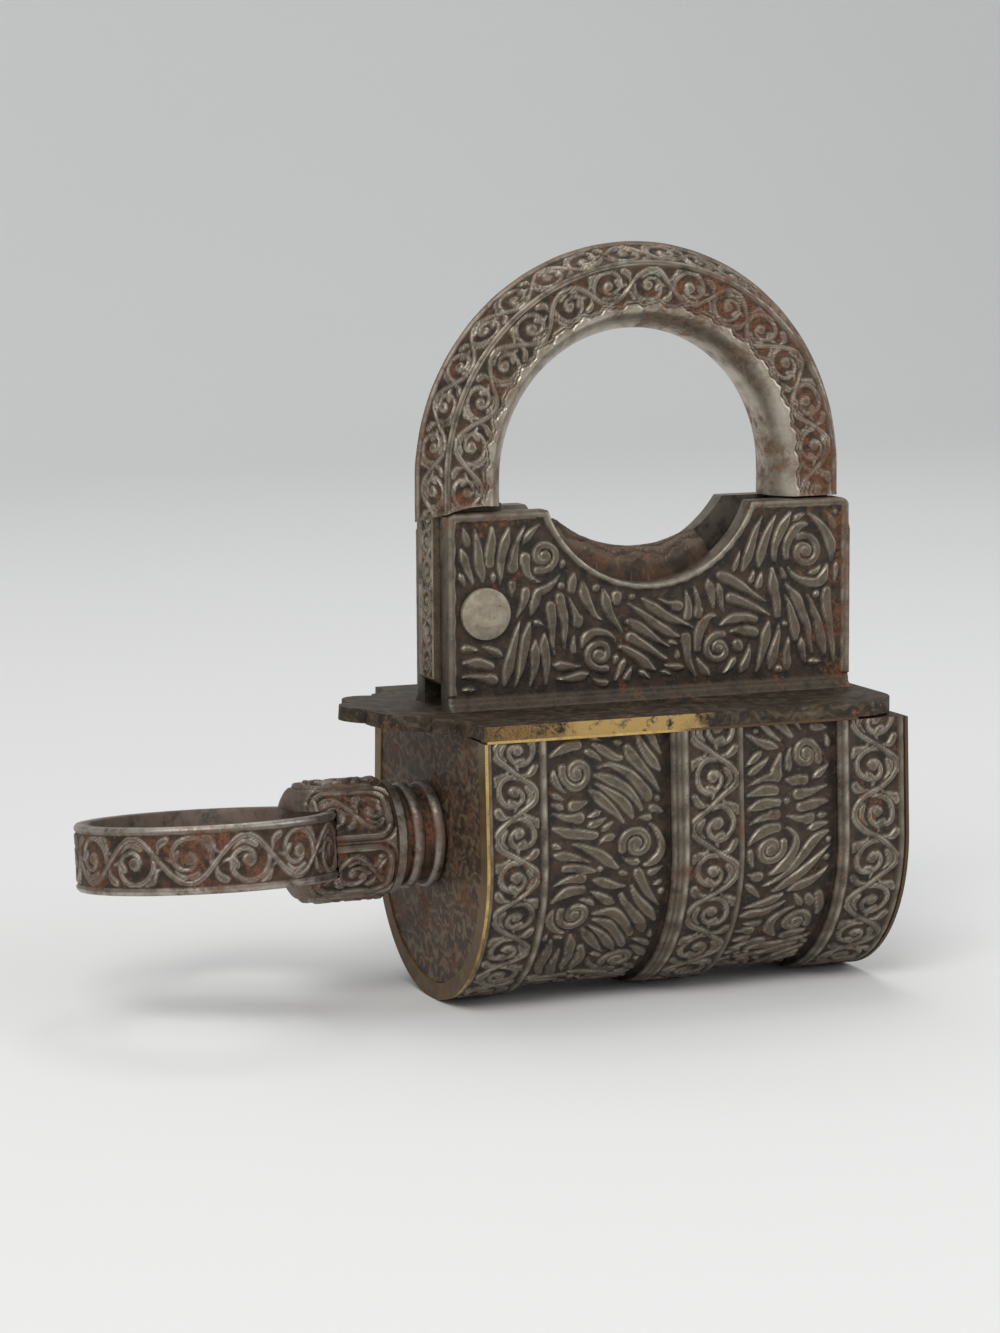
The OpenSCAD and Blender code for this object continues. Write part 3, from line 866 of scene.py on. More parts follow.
def carve_shell(run, x):
    inset = np.full(run.shape, UNDER_BAND)
    relief = np.zeros(run.shape)
    edge = np.zeros(run.shape)
    for start, end, sheet, seed in PANELS:
        inside = (x > start - 0.01) & (x < end + 0.01)
        s, t = waver(run, x - (start + end) / 2, 0.12, seed)
        height, rim = carved(look_up(*sheet, s, t), run, x)
        lip = soft(np.minimum(x - start, end - x) / 0.5)
        height = height * lip
        inset = np.where(inside, PANEL_IN + PANEL_DEPTH * (1 - height), inset)
        relief = np.where(inside, height, relief)
        edge = np.where(inside, rim * lip, edge)
    return inset, relief, edge


shell_x = np.concatenate([
    np.linspace(0, 9.4, 3)[:-1], np.linspace(9.4, 29.9, 82)[:-1], np.linspace(29.9, 41.8, 3)[:-1],
    np.linspace(41.8, 58.0, 65)[:-1], np.linspace(58.0, 69.5, 3)])
shell = barrel_piece("barrel_shell_carved", shell_x, np.array([69.5, 46, 23, 0.0]), SHEET_IN,
                     carve_shell, SHELL_STATIONS)
dress(shell, chased_steel, "chased_steel", "case", "barrel_shell")

# %% [markdown]
# ## The three bands
# Each band is a vine between mouldings. A moulding is a bead in the band's cross-section, and the
# narrow ridge beside a panel is painted as the brightest line on the barrel, wear and a painted
# highlight, because it stands highest. A band's row holds its name, both ends, the vine's field and
# sheet, the beads (place, half width, height) and the places of the lines painted brightest.

# %% Bands
BAND_DEPTH = 0.46
BAND_STATIONS = 440
COLUMN_STEP = 0.24
BANDS = (
    ("key_band", 0.0, 9.5, 0.75, 8.25, band_vine, ((0.30, 0.45, 0.96), (8.95, 0.62, 1.0)), (8.95,)),
    ("middle_band", 29.8, 41.9, 3.15, 11.45, wide_vine,
     ((0.55, 0.50, 0.45), (1.45, 0.45, 0.55), (2.45, 0.62, 1.0), (11.75, 0.42, 0.95)), (2.45, 11.8)),
    ("far_band", 57.9, 69.5, 2.25, 10.65, wide_vine,
     ((0.45, 0.45, 0.45), (1.45, 0.60, 1.0), (11.05, 0.52, 0.95)), (1.45, 11.2)),
)


def band_carver(start, field_low, field_high, sheet, beads, wear_and_highlight_lines):
    middle = (field_low + field_high) / 2
    half = (field_high - field_low) / 2

    def carve(run, x):
        place = x - start
        s, t = waver(run, place - middle, 0.16, start)
        scaled = t * sheet[2] / half
        height, rim = carved(look_up(*sheet, s, scaled), run, x)
        inside = soft((half - np.abs(place - middle)) / 0.25)
        height = height * inside
        rim = rim * inside
        for at, half_width, tall in beads:
            knock = 1 - 0.10 * soft(np.sin(1.9 * run + 2.3 * np.sin(0.43 * run)) - 0.2)
            shape = bead(place, at, half_width, tall) * knock
            height = np.maximum(height, shape)
            # Bead ridges get a rim painted bright, wear and a painted highlight, fullest on the
            # listed lines.
            line = np.exp(-((place - at) / 0.30) ** 2) * (1.0 if at in wear_and_highlight_lines else 0.35)
            rim = np.maximum(rim, line * (0.6 + 0.4 * np.sin(1.3 * run + start)))
        return BAND_DEPTH * (1 - height), height, rim

    return carve


for name, start, end, low, high, sheet, beads, wear_and_highlight_lines in BANDS:
    across = int((end - start) / COLUMN_STEP)
    band = barrel_piece(
        name + "_carved", np.linspace(start, end, across), np.array([end, start]), PANEL_IN,
        band_carver(start, low, high, sheet, beads, wear_and_highlight_lines), BAND_STATIONS)
    dress(band, chased_steel, "chased_steel", "case", name)

# %% [markdown]
# ## Cheeks
# Each cheek is a thick plate with a round notch under the shackle. A plain raised border runs
# round it, painted brightest along the notch as wear and a painted highlight, and the leaves keep
# clear of the rivet. The foot flares out where it was forged onto the plate. Columns of points
# follow the notched top edge. A notch is the x and z of its centre, and its radius.

# %% Cheeks
HOUSE_X = 0.35
HOUSE_END = 68.2
CHEEK_H = 30.1
HOUSE_HALF = 6.85
CHEEK_T = 3.4
FRONT_NOTCH = (34.0, 36.3, 18.2)
BACK_NOTCH = (34.0, 41.2, 20.1)
PIVOT = (6.45, 14.7)
CHEEK_ARC = 16.1
CORNER = 1.8
CHEEK_DEPTH = 0.52
CHEEK_MIDDLE = 14.7
BORDER = 1.25
NOTCH_BORDER = 1.0
RIVET_GROUND = 4.3
FOOT_TOP = 2.3
FOOT_RISE = 0.42
FOOT_FLARE = 0.95
FILLET = 0.42
UP = 136
CHEEK_VOLUTES = ((16.0, 8.4, 3.0, 1), (25.5, -7.2, 3.0, -1), (45.5, -7.6, 2.9, 1),
                 (60.5, 7.0, 3.2, -1))


def cheek_top(x, cut):
    top = np.full(x.shape, CHEEK_H)
    rise = PIVOT[1] + np.sqrt(np.maximum(CHEEK_ARC ** 2 - (x - PIVOT[0]) ** 2, 0))
    top = np.where(x < PIVOT[0], np.minimum(top, rise), top)
    bend = np.maximum(x - (HOUSE_END - CORNER), 0)
    top = top - CORNER + np.sqrt(np.maximum(CORNER ** 2 - bend ** 2, 0))
    span = cut[2] ** 2 - (x - cut[0]) ** 2
    dip = cut[1] - np.sqrt(np.maximum(span, 0))
    return np.where(span > 0, np.minimum(top, dip), top)


def cheek_border(x, z, cut):
    """Distance inwards from the cheek's outline."""
    side = np.minimum(x - HOUSE_X, HOUSE_END - x)
    notch = np.hypot(x - cut[0], z - cut[1]) - cut[2]
    return np.minimum(np.minimum(side, CHEEK_H - z), notch), notch


def cheek_clear(x, z, cut):
    """Distance that leaves keep from the border, the foot and the rivet."""
    inward, _ = cheek_border(x, z, cut)
    rivet = np.hypot(x - PIVOT[0], z - PIVOT[1])
    return np.minimum(np.minimum(inward - 1.35, rivet - 4.2), z - FOOT_TOP)


print("cheek outline ready")

# %% [markdown]
# ## Cheek faces
# The same face is carved on both cheeks, each with its own leaves round its own notch. Outer face,
# top edge and inner face are columns of one closed sheet.

# %% Cheek faces
def cheek_face(x, z, top, cut, leaves, seed):
    """The carved face: distance from the lock's middle, height, rim and stain."""
    inward, notch = cheek_border(x, z, cut)
    s, t = waver(x, z - CHEEK_MIDDLE, 0.10, seed)
    distance = look_up(*leaves, s, t)
    border = inward - np.where(notch < 2.2, NOTCH_BORDER, BORDER)
    border = border - 0.08 * np.sin(2.1 * x + 1.7 * z)
    distance = np.maximum(distance, 0.30 - border)
    distance = np.minimum(distance, border)
    distance = np.maximum(distance, RIVET_GROUND - np.hypot(x - PIVOT[0], z - PIVOT[1]))
    above_foot = 0.3 * soft((FOOT_TOP - z) / 0.3)
    distance = np.where(z < FOOT_TOP, np.maximum(distance, above_foot), distance)
    height, rim = carved(distance, x, z)
    height = np.maximum(height, FOOT_RISE * soft((2.0 - z) / 0.5))
    fillet = FILLET - np.sqrt(np.maximum(FILLET ** 2 - np.maximum(FILLET - inward, 0) ** 2, 0))
    out = HOUSE_HALF - CHEEK_DEPTH * (1 - height) - fillet * (top - z < 3.0)
    out = out + FOOT_FLARE * soft((1.5 - z) / 1.5) ** 2
    knocks = 0.5 + 0.5 * np.sin(0.83 * x + 1.1 * z) * np.sin(0.37 * x - 0.6 * z + seed)
    # The border's rim is painted bright as wear and a painted highlight, brightest along the notch.
    shine = np.where(notch < 1.2, 1.0 - 0.25 * knocks, 0.20 + 0.38 * knocks)
    rim = np.maximum(rim, np.exp(-((inward - 0.36) / 0.28) ** 2) * shine)
    stain = 0.7 * soft((x - 62.5) / 4.5) + 0.6 * soft((z - 27.2) / 1.5) * (x < 20)
    return out, height, rim, stain + 0.22 * soft((x - 40) / 22)


def cheek_piece(name, way, seed, cut):
    leaves = flowing(69.0, CHEEK_MIDDLE, np.pi / 2, 20 + int(seed), CHEEK_VOLUTES,
                     lambda s, t: cheek_clear(s, t + CHEEK_MIDDLE, cut))
    x_line = np.concatenate([
        np.linspace(HOUSE_X, 16.6, 84)[:-1], np.linspace(16.6, 20, 20)[:-1],
        np.linspace(20, 48, 130)[:-1], np.linspace(48, 51.4, 20)[:-1],
        np.linspace(51.4, HOUSE_END, 86)])
    x, share = grid(x_line, np.linspace(0, 1, UP))
    top = cheek_top(x, cut)
    z = top * share
    out, height, rim, stain = cheek_face(x, z, top, cut, leaves, seed)
    x_in, share_in = grid(x_line, np.linspace(1, 0, 7))
    z_in = cheek_top(x_in, cut) * share_in
    blank = np.zeros(x_in.shape)
    y_all = way * closed(out, blank + HOUSE_HALF - CHEEK_T)
    points = np.stack([closed(x, x_in), y_all, closed(z, z_in)], 2)
    relief = closed(height, blank)
    edge = closed(rim, blank)
    # The top edge is painted a little bright: wear and a painted highlight.
    edge[:, UP:UP + 2] = 0.35
    relief[:, UP:UP + 2] = 0.7
    return woven(name, points, relief, edge, stain=closed(stain, blank))


CHEEKS = (("front_cheek", -1, 0.9, FRONT_NOTCH), ("back_cheek", 1, 4.1, BACK_NOTCH))
for name, way, seed, cut in CHEEKS:
    cheek = cheek_piece(name + "_carved", way, seed, cut)
    dress(cheek, chased_steel, "chased_steel", "case", name)

# %% [markdown]
# ## Saddle
# Between the cheeks a thick crowned strip closes the loop under the shackle. Its round top stands
# above both notches and carries a shallow wave of lines, worn nearly flat.

# %% Saddle
SADDLE_X = 34.0
SADDLE_Z = 44.3
SADDLE_R = 21.0
SADDLE_T = 7.0
SADDLE_ROUND = 2.0
SADDLE_HALF = 3.45
SADDLE_DEPTH = 0.22

# The strip runs from 0.69 rad left of its lowest place to 10 mm right of it, at radius 22.
SADDLE_LOW = 0.69
SADDLE_HIGH = math.asin(10.0 / 22.0)

saddle_curve = (SADDLE_HALF ** 2 + SADDLE_ROUND ** 2) / (2 * SADDLE_ROUND)
turn_line = np.linspace(-math.pi / 2 - SADDLE_LOW, -math.pi / 2 + SADDLE_HIGH, 110)
width_line = np.linspace(-SADDLE_HALF, SADDLE_HALF, 30)
turns, widths = grid(turn_line, width_line)
run = turns * SADDLE_R
ripple = np.sin(3.4 * widths + 1.7 * np.sin(0.8 * run) + 0.5 * np.sin(2.3 * run))
height = soft(0.5 + 0.8 * ripple)
crown = saddle_curve - np.sqrt(saddle_curve ** 2 - widths ** 2)
reach_top = SADDLE_R + crown + SADDLE_DEPTH * (1 - height)
down = np.array([SADDLE_R + 3.0, SADDLE_R + 5.0, SADDLE_R + SADDLE_T])
under = np.broadcast_to(np.append(down, down[::-1]), (len(turn_line), 6))
side = np.sign([1, 1, 1, -1, -1, -1]) + 0 * under
reach_all = closed(reach_top, under)
turn_all = np.broadcast_to(turn_line[:, None], reach_all.shape)
saddle_points = np.stack([
    SADDLE_X + reach_all * np.cos(turn_all), closed(widths, side * SADDLE_HALF),
    SADDLE_Z + reach_all * np.sin(turn_all)], 2)
relief = closed(0.6 * height, 0.1 + 0 * under)
# The slopes of the wave are painted bright: wear and a painted highlight.
edge = closed(0.5 * np.exp(-((height - 0.6) / 0.15) ** 2), 0 * under)
edge[:, -1] = 0
saddle = woven("saddle_crowned", saddle_points, relief, edge)
dress(saddle, brown_steel, "brown_steel", "case", "saddle")

# %% [markdown]
# ## Shackle bow
# The bow has flat faces, a low gable outside and a smooth round inside where things hang. Its
# section is a closed loop, swept up the left leg, round the arch and down the right leg. Vines
# run along the flats and the gable, a wavy line edges the polished inside.

# %% Shackle bow
BOW_X = 33.4
BOW_Z = 34.7
BOW_IN = 22.5
BOW_OUT = 32.9
RIDGE = 2.9
SWELL = 3.0
BOW_HALF = 6.0
SHOULDER = 16.4
RIGHT_LEG_END = 30.45
BOW_DEPTH = 0.42
SWELL_R = (BOW_HALF ** 2 + SWELL ** 2) / (2 * SWELL)
GABLE = math.hypot(BOW_HALF, RIDGE)
FLAT_RUN = 29.2
FLAT_MIDDLE = 29.35
GABLE_RUN = 34.3
GABLE_MIDDLE = 3.30
BORDER_PLACE = 26.15


def bow_loop():
    """The section: reach from the bow's centre, y, outward normal, face number and face place."""
    y_in = np.linspace(BOW_HALF, -BOW_HALF, 30)[:-1]
    n_in = BOW_IN + SWELL_R - np.sqrt(SWELL_R ** 2 - y_in ** 2)
    flat = np.linspace(BOW_IN + SWELL, BOW_OUT, 31)[:-1]
    roof = np.linspace(0, 1, 28)[:-1]
    gable_normal = (BOW_HALF / GABLE, RIDGE / GABLE)
    parts = [
        (n_in, y_in, (n_in - BOW_IN - SWELL_R) / SWELL_R, y_in / SWELL_R, 0, y_in),
        (flat, 0 * flat - BOW_HALF, 0 * flat, 0 * flat - 1, 1, flat),
        (BOW_OUT + RIDGE * roof, BOW_HALF * (roof - 1), 0 * roof + gable_normal[0],
         0 * roof - gable_normal[1], 2, roof * GABLE),
        (BOW_OUT + RIDGE * (1 - roof), BOW_HALF * roof, 0 * roof + gable_normal[0],
         0 * roof + gable_normal[1], 2, (1 - roof) * GABLE),
        (flat[::-1] + flat[1] - flat[0], 0 * flat + BOW_HALF, 0 * flat, 0 * flat + 1, 1,
         flat[::-1] + flat[1] - flat[0]),
    ]
    columns = [np.concatenate([np.broadcast_to(part[k], part[0].shape) for part in parts])
               for k in range(6)]
    return [np.append(column, column[0]) for column in columns]


print("bow section:", len(bow_loop()[0]), "points")

# %% [markdown]
# ## Carving the bow
# The section's faces are numbered: 0 is the polished inside, 1 the two flats and 2 the gable.
# Flats and gable have an ornament each. The run along the bow is given as the arch's angle.

# %% Carving the bow
def bow_carving(face, place, along):
    """Height, rim and plainness on the bow for a face, a place on it and a run along it."""
    # The flats: a vine, the wavy border of the polished inside, and a line at the outer corner.
    run = along * FLAT_RUN
    s, t = waver(run, place - FLAT_MIDDLE, 0.16, 0.8)
    on_flat = look_up(*shackle_vine, s, t * 3.0 / 2.75)
    wave = BORDER_PLACE + 0.30 * np.sin(2 * np.pi * run / 4.7) + 0.12 * np.sin(3.1 * run)
    on_flat = np.maximum(on_flat, wave + 0.75 - place)
    on_flat = np.maximum(on_flat, place - 32.05)
    on_flat = np.minimum(on_flat, np.abs(place - wave - 0.42) - 0.13)
    on_flat = np.minimum(on_flat, place - wave)
    on_flat = np.minimum(on_flat, np.abs(place - 32.42) - 0.20)
    # The gable: a second vine between a corner line and the ridge.
    s, t = waver(along * GABLE_RUN, place - GABLE_MIDDLE, 0.14, 3.0)
    on_gable = look_up(*gable_vine, s, t * 2.75 / 2.45)
    on_gable = np.maximum(on_gable, 0.85 - place)
    on_gable = np.maximum(on_gable, place - 5.75)
    on_gable = np.minimum(on_gable, np.abs(place - 0.45) - 0.20)
    on_gable = np.minimum(on_gable, 6.15 - place)
    distance = np.where(face == 1, on_flat, on_gable)
    height, rim = carved(distance, run, place)
    inside = face == 0
    height = np.where(inside, 1.0, height)
    rim = np.where(inside, 0.0, rim)
    rubbed = np.where(face == 1, soft((wave - place + 0.1) / 0.25), inside * 1.0)
    return height, rim, rubbed


print("bow carving ready")

# %% [markdown]
# ## Sweeping the bow
# Rows of the section follow the left leg up, the arch round and the right leg down. The left leg
# ends in a hollow that clears the cheeks' round corners as the shackle turns.

# %% Sweeping the bow
reach, y, normal_n, normal_y, face, place = bow_loop()
LEG_ROWS = 17
ARCH_ROWS = 372
END_ROWS = 15
LEG_RUN = 4.6
LIP_RUN = 4.2
left_share = np.linspace(0, 1, LEG_ROWS)[:-1]
theta = np.linspace(math.pi, 0, ARCH_ROWS)
right_share = np.linspace(0, 1, END_ROWS)[1:]
along = np.concatenate([
    math.pi + (1 - left_share) * LEG_RUN / FLAT_RUN, theta,
    -right_share * (BOW_Z - RIGHT_LEG_END) / FLAT_RUN])
along_grid, reach_grid = grid(along, reach)
face_grid = np.broadcast_to(face, along_grid.shape)
place_grid = np.broadcast_to(place, along_grid.shape)
height, rim, polish = bow_carving(face_grid, place_grid, along_grid)

# A plain raised lip ends each leg. Beyond the legs it is out of reach.
end_lip = np.full(along.shape, 9.0)
end_lip[:LEG_ROWS - 1] = left_share * LIP_RUN
end_lip[-(END_ROWS - 1):] = (1 - right_share) * LIP_RUN
height = np.maximum(height, soft(1.2 - end_lip / 0.5)[:, None])

# Rust gathers at the feet of both legs, down the right side and along the inside's back.
bow_stain = 0.42 * soft((0.45 - along) / 0.6) + 0.30 * soft((along - 2.8) / 0.6)
bow_stain = bow_stain + 0.28 * soft((1.9 - along) / 0.9)
bow_stain = (bow_stain + 0.22 * soft(np.sin(2.1 * along)))[:, None] * (1 - 0.75 * polish)
bow_stain = bow_stain + 0.50 * polish * soft((y - 1.0) / 4.0)[None, :]

sunk = BOW_DEPTH * (1 - height)
n_now = reach_grid - sunk * normal_n
y_now = np.broadcast_to(y, along_grid.shape) - sunk * normal_y
turn = np.clip(along_grid, 0, math.pi)
bow_x = BOW_X + n_now * np.cos(turn)
bow_z = BOW_Z + n_now * np.sin(turn)
leg_x = bow_x[:LEG_ROWS - 1]
leg_end = PIVOT[1] + np.sqrt(SHOULDER ** 2 - (leg_x - PIVOT[0]) ** 2)
bow_z[:LEG_ROWS - 1] = leg_end + (BOW_Z - leg_end) * left_share[:, None]
bow_z[-(END_ROWS - 1):] = BOW_Z + (RIGHT_LEG_END - BOW_Z) * right_share[:, None]
bow = woven("shackle_bow", np.stack([bow_x, y_now, bow_z], 2), height, rim, polish, bow_stain)
print("bow rows and columns:", bow_x.shape)

# %% [markdown]
# ## Hinge blade
# Between the cheeks the shackle narrows to a blade with a round end that turns on the rivet. Its
# outer edge is engraved too.

# %% Hinge blade
BLADE_HALF = 3.15
BLADE_X = (-0.7, 10.5)
BLADE_R = 12.4
BLADE_TOP = 31.2
BLADE_DEPTH = 0.36


def blade_path():
    """Points down the outer edge, round the end and up the inner edge."""
    low_left = PIVOT[1] - math.sqrt(BLADE_R ** 2 - (PIVOT[0] - BLADE_X[0]) ** 2)
    low_right = PIVOT[1] - math.sqrt(BLADE_R ** 2 - (BLADE_X[1] - PIVOT[0]) ** 2)
    down = np.linspace(BLADE_TOP, low_left, 92)[:-1]
    start = math.atan2(low_left - PIVOT[1], BLADE_X[0] - PIVOT[0])
    end = math.atan2(low_right - PIVOT[1], BLADE_X[1] - PIVOT[0])
    arc = np.linspace(start, end, 30)[:-1]
    rise = np.linspace(low_right, BLADE_TOP, 8)
    x = np.concatenate([0 * down + BLADE_X[0], PIVOT[0] + BLADE_R * np.cos(arc),
                        0 * rise + BLADE_X[1]])
    z = np.concatenate([down, PIVOT[1] + BLADE_R * np.sin(arc), rise])
    return x, z


x_path, z_path = blade_path()
x_path = np.append(x_path, x_path[0])
z_path = np.append(z_path, z_path[0])
across = np.linspace(-BLADE_HALF, BLADE_HALF, 25)
rows_x, columns_y = grid(x_path, across)
rows_z = np.broadcast_to(z_path[:, None], rows_x.shape)

# Across the edge come a rim, a fine line and the vine's strip.
distance = look_up(*slim_vine, rows_z, columns_y * 2.1 / 2.0)
distance = np.maximum(distance, np.abs(columns_y) - 1.95)
distance = np.minimum(distance, np.abs(np.abs(columns_y) - 2.3) - 0.18)
distance = np.minimum(distance, 2.75 - np.abs(columns_y))
height, rim = carved(distance, rows_z, columns_y)
outer = (rows_x < BLADE_X[0] + 0.01) & (rows_z > 4.6)
height = np.where(outer, height, 0.5)
rim = np.where(outer, rim, 0)
rows_x = rows_x + np.where(outer, BLADE_DEPTH * (1 - height), 0)
blade = woven("hinge_blade", np.stack([rows_x, columns_y, rows_z], 2), height, rim)
print("blade rows and columns:", rows_x.shape)

# %% [markdown]
# ## Toe
# On the bow's other side a toe drops through the plate, with an eye for the bolt. It is a plain
# outline, extruded, rounded and drilled. Bow, blade and toe are then joined as one forging.

# %% Toe
TOE = [(58.3, 34.7), (66.3, 34.7), (66.3, 12.7), (62.5, 1.0), (62.5, -8.5), (61.5, -9.5),
       (59.3, -9.5), (58.3, -8.5)]
EYE_R = 2.0
EYE_AT = (60.4, 0, -6.2)
TOE_ROUND = 0.35


def prism(name, outline, y_low, y_high):
    """An outline of (x, z) points in millimetres, extruded along y."""
    bpy.ops.object.select_all(action="DESELECT")
    bpy.ops.mesh.primitive_circle_add(vertices=len(outline), fill_type="NGON")
    piece = named(name)
    set_points(piece, [(x, y_low, z) for x, z in outline])
    edit(piece,
         lambda: bpy.ops.mesh.extrude_region_move(
             TRANSFORM_OT_translate={"value": (0, (y_high - y_low) * MM, 0)}),
         turn_outwards)
    return piece


def apply(piece, kind, **settings):
    """Adds a modifier with its settings and applies it."""
    modifier = piece.modifiers.new(kind.lower(), kind)
    for key, value in settings.items():
        setattr(modifier, key, value)
    only(piece)
    bpy.ops.object.modifier_apply(modifier=modifier.name)


def bar(name, radius, length, at, turned, sides=48):
    """A round bar about a middle point, turned from upright."""
    bpy.ops.object.select_all(action="DESELECT")
    bpy.ops.mesh.primitive_cylinder_add(vertices=sides, radius=radius * MM, depth=length * MM,
                                        location=tuple(put(at)), rotation=turned)
    piece = named(name)
    bpy.ops.object.transform_apply(location=True, rotation=True, scale=True)
    return piece


def drill(piece, tool):
    """Cuts the tool out of the piece and throws the tool away."""
    apply(piece, "BOOLEAN", operation="DIFFERENCE", solver="EXACT", object=tool)
    bpy.data.objects.remove(tool)


def join(pieces):
    bpy.ops.object.select_all(action="DESELECT")
    for piece in pieces:
        piece.select_set(True)
    bpy.context.view_layer.objects.active = pieces[0]
    bpy.ops.object.join()
    return pieces[0]


toe = prism("toe", TOE, -BLADE_HALF, BLADE_HALF)
apply(toe, "BEVEL", width=TOE_ROUND * MM, segments=2, limit_method="ANGLE")
drill(toe, bar("eye_tool", EYE_R, 12, EYE_AT, (0, math.pi / 2, 0)))
bpy.ops.object.shade_smooth_by_angle(angle=math.radians(35))
shackle = join([bow, blade, toe])
dress(shackle, shackle_steel, "shackle_steel", "shackle", "shackle")

# %% [markdown]
# ## Key ring
# The key ends in a flat ring with a vine on its outside. Ring and hub stand a few degrees off
# level, where the screw ran home.

# %% Key ring
KEY_Z = -19.7
KEY_TURN = math.radians(-6.5)
RING_X = -36.4
RING_R = 19.8
RING_T = 2.4
RING_HALF = 5.0
RING_DEPTH = 0.36
RING_BAYS = 14
RING_BAY = 8.6
RING_FIELD = 3.72
RING_LIP = 4.02


def at_home(points):
    """Turns key points about the key's axis and lowers them to it."""
    y = points[..., 1] * math.cos(KEY_TURN) - points[..., 2] * math.sin(KEY_TURN)
    z = points[..., 1] * math.sin(KEY_TURN) + points[..., 2] * math.cos(KEY_TURN)
    return np.stack([points[..., 0], y, z + KEY_Z], -1)


turn = np.linspace(0, 2 * np.pi, 500)
level = np.linspace(-RING_HALF, RING_HALF, 43)
turns, levels = grid(turn, level)
run = turns / (2 * np.pi) * RING_BAYS * RING_BAY
s, t = waver(run, levels, 0.10, 1.0)
distance = look_up(*ring_vine, run, t * 3.7 / 3.75)
distance = np.maximum(distance, np.abs(levels) - RING_FIELD)
distance = np.minimum(distance, RING_LIP - np.abs(levels))
height, rim = carved(distance, run, levels)
# The ring's rounded lips are painted bright: wear and a painted highlight.
rim = np.maximum(rim, 0.9 * soft((np.abs(levels) - 4.15) / 0.4))
round_off = np.maximum(np.abs(levels) - 4.45, 0) ** 2 * 1.1
radius_out = RING_R - RING_DEPTH * (1 - height) - round_off
inner_level = np.array([5.0, 4.9, 4.4, 2.2, 0, -2.2, -4.4, -4.9, -5.0])
inner_drop = np.array([0.55, 0.18, 0, 0, 0, 0, 0, 0.18, 0.55])
turns_in, levels_in = grid(turn, inner_level)
radius_in = RING_R - RING_T + np.broadcast_to(inner_drop, turns_in.shape)
radius = closed(radius_out, radius_in)
all_turns = closed(turns, turns_in)
ring_points = np.stack([RING_X + radius * np.cos(all_turns), radius * np.sin(all_turns),
                        closed(levels, levels_in)], 2)
relief = closed(height, 0 * turns_in + 0.35)
edge = closed(rim, 0 * turns_in + 0.15)
ring_stain = 0.28 * soft(np.sin(all_turns * 3.0 + 0.6) * np.sin(all_turns * 1.7))
ring = woven("key_ring_carved", at_home(ring_points), relief, edge, stain=ring_stain)
dress(ring, key_steel, "key_steel", "key", "key_ring")

# %% [markdown]
# ## Key hub
# The hub is turned work, with a cartouche on each of six sides, a collar and two beads. The ring's
# disc is cut out of it, as its fork was sawn.

# %% Key hub
HUB_R = 9.5
HUB_END = 23.2
HUB_ROUND = 3.0
HUB_DEPTH = 0.55
HUB_SIDE = math.pi / 3
CARTOUCHE_AT = 15.6
CARTOUCHE = (5.9, 4.15, 2.3)
FORK_GAP = 0.06


def hub_profile():
    """(distance from the lock's end, radius) from the open end's centre to the shank's end."""
    bend = np.linspace(math.pi / 2, 0, 12)
    spans = [
        (np.full(4, HUB_END), np.array([0.01, 2.5, 4.5, 6.2])),
        (HUB_END - HUB_ROUND + HUB_ROUND * np.sin(bend),
         HUB_R - HUB_ROUND + HUB_ROUND * np.cos(bend)),
        (np.linspace(20.1, 9.3, 44), np.full(44, HUB_R)),
        (8.6 + 0.7 * np.cos(np.linspace(0, math.pi / 2, 6)),
         HUB_R - 0.7 + 0.7 * np.sin(np.linspace(math.pi / 2, 0, 6))),
        (np.array([8.55, 8.3, 7.3, 7.05]), np.array([8.6, 8.62, 8.62, 8.35])),
        (np.array([6.95, 6.3, 6.0]), np.array([7.4, 7.2, 7.2])),
        (4.9 + np.cos(np.linspace(0, math.pi, 13)), 7.2 + np.sin(np.linspace(0, math.pi, 13))),
        (np.array([3.6, 2.85]), np.array([7.2, 7.2])),
        (1.55 + np.cos(np.linspace(0, math.pi, 13)), 7.2 + np.sin(np.linspace(0, math.pi, 13))),
        (np.array([0.55, 0.5, -2.0, -13.8, -14.0, -14.0]), np.array([6.8, 4.4, 4.4, 4.4, 4.1, 0.01])),
    ]
    return np.concatenate([span[0] for span in spans]), np.concatenate([span[1] for span in spans])


def box_distance(a, b, half_a, half_b, corner):
    """Distance to a rounded rectangle's outline, below zero inside it."""
    qa = np.abs(a) - half_a + corner
    qb = np.abs(b) - half_b + corner
    return np.hypot(np.maximum(qa, 0), np.maximum(qb, 0)) + np.minimum(np.maximum(qa, qb), 0) - corner


away, hub_radius = hub_profile()
turn = np.linspace(0, 2 * np.pi, 241)
turns, aways = grid(turn, away)
radii = np.broadcast_to(hub_radius, turns.shape)
side_run = HUB_R * (np.mod(turns, HUB_SIDE) - HUB_SIDE / 2)
panel = np.floor(turns / HUB_SIDE)
outline = box_distance(aways - CARTOUCHE_AT, side_run, *CARTOUCHE)
frame_line = np.abs(outline + 0.12) - 0.42
leaf = look_up(*band_vine, (aways - CARTOUCHE_AT) + 3.2 * panel, side_run * 3.35 / 3.0)
leaf = np.maximum(leaf, outline + 1.05)
distance = np.minimum(frame_line, leaf)
distance = np.minimum(distance, 0.80 - outline)
carving = soft((aways - 8.9) / 0.3) * soft((22.6 - aways) / 0.5)
height, rim = carved(distance, aways * 1.3, side_run)
height = 1 - carving * (1 - height)
rim = rim * carving
beads_here = (aways < 6.2) & (aways > 0.5)
turned = beads_here | ((aways < 8.6) & (aways > 6.95))
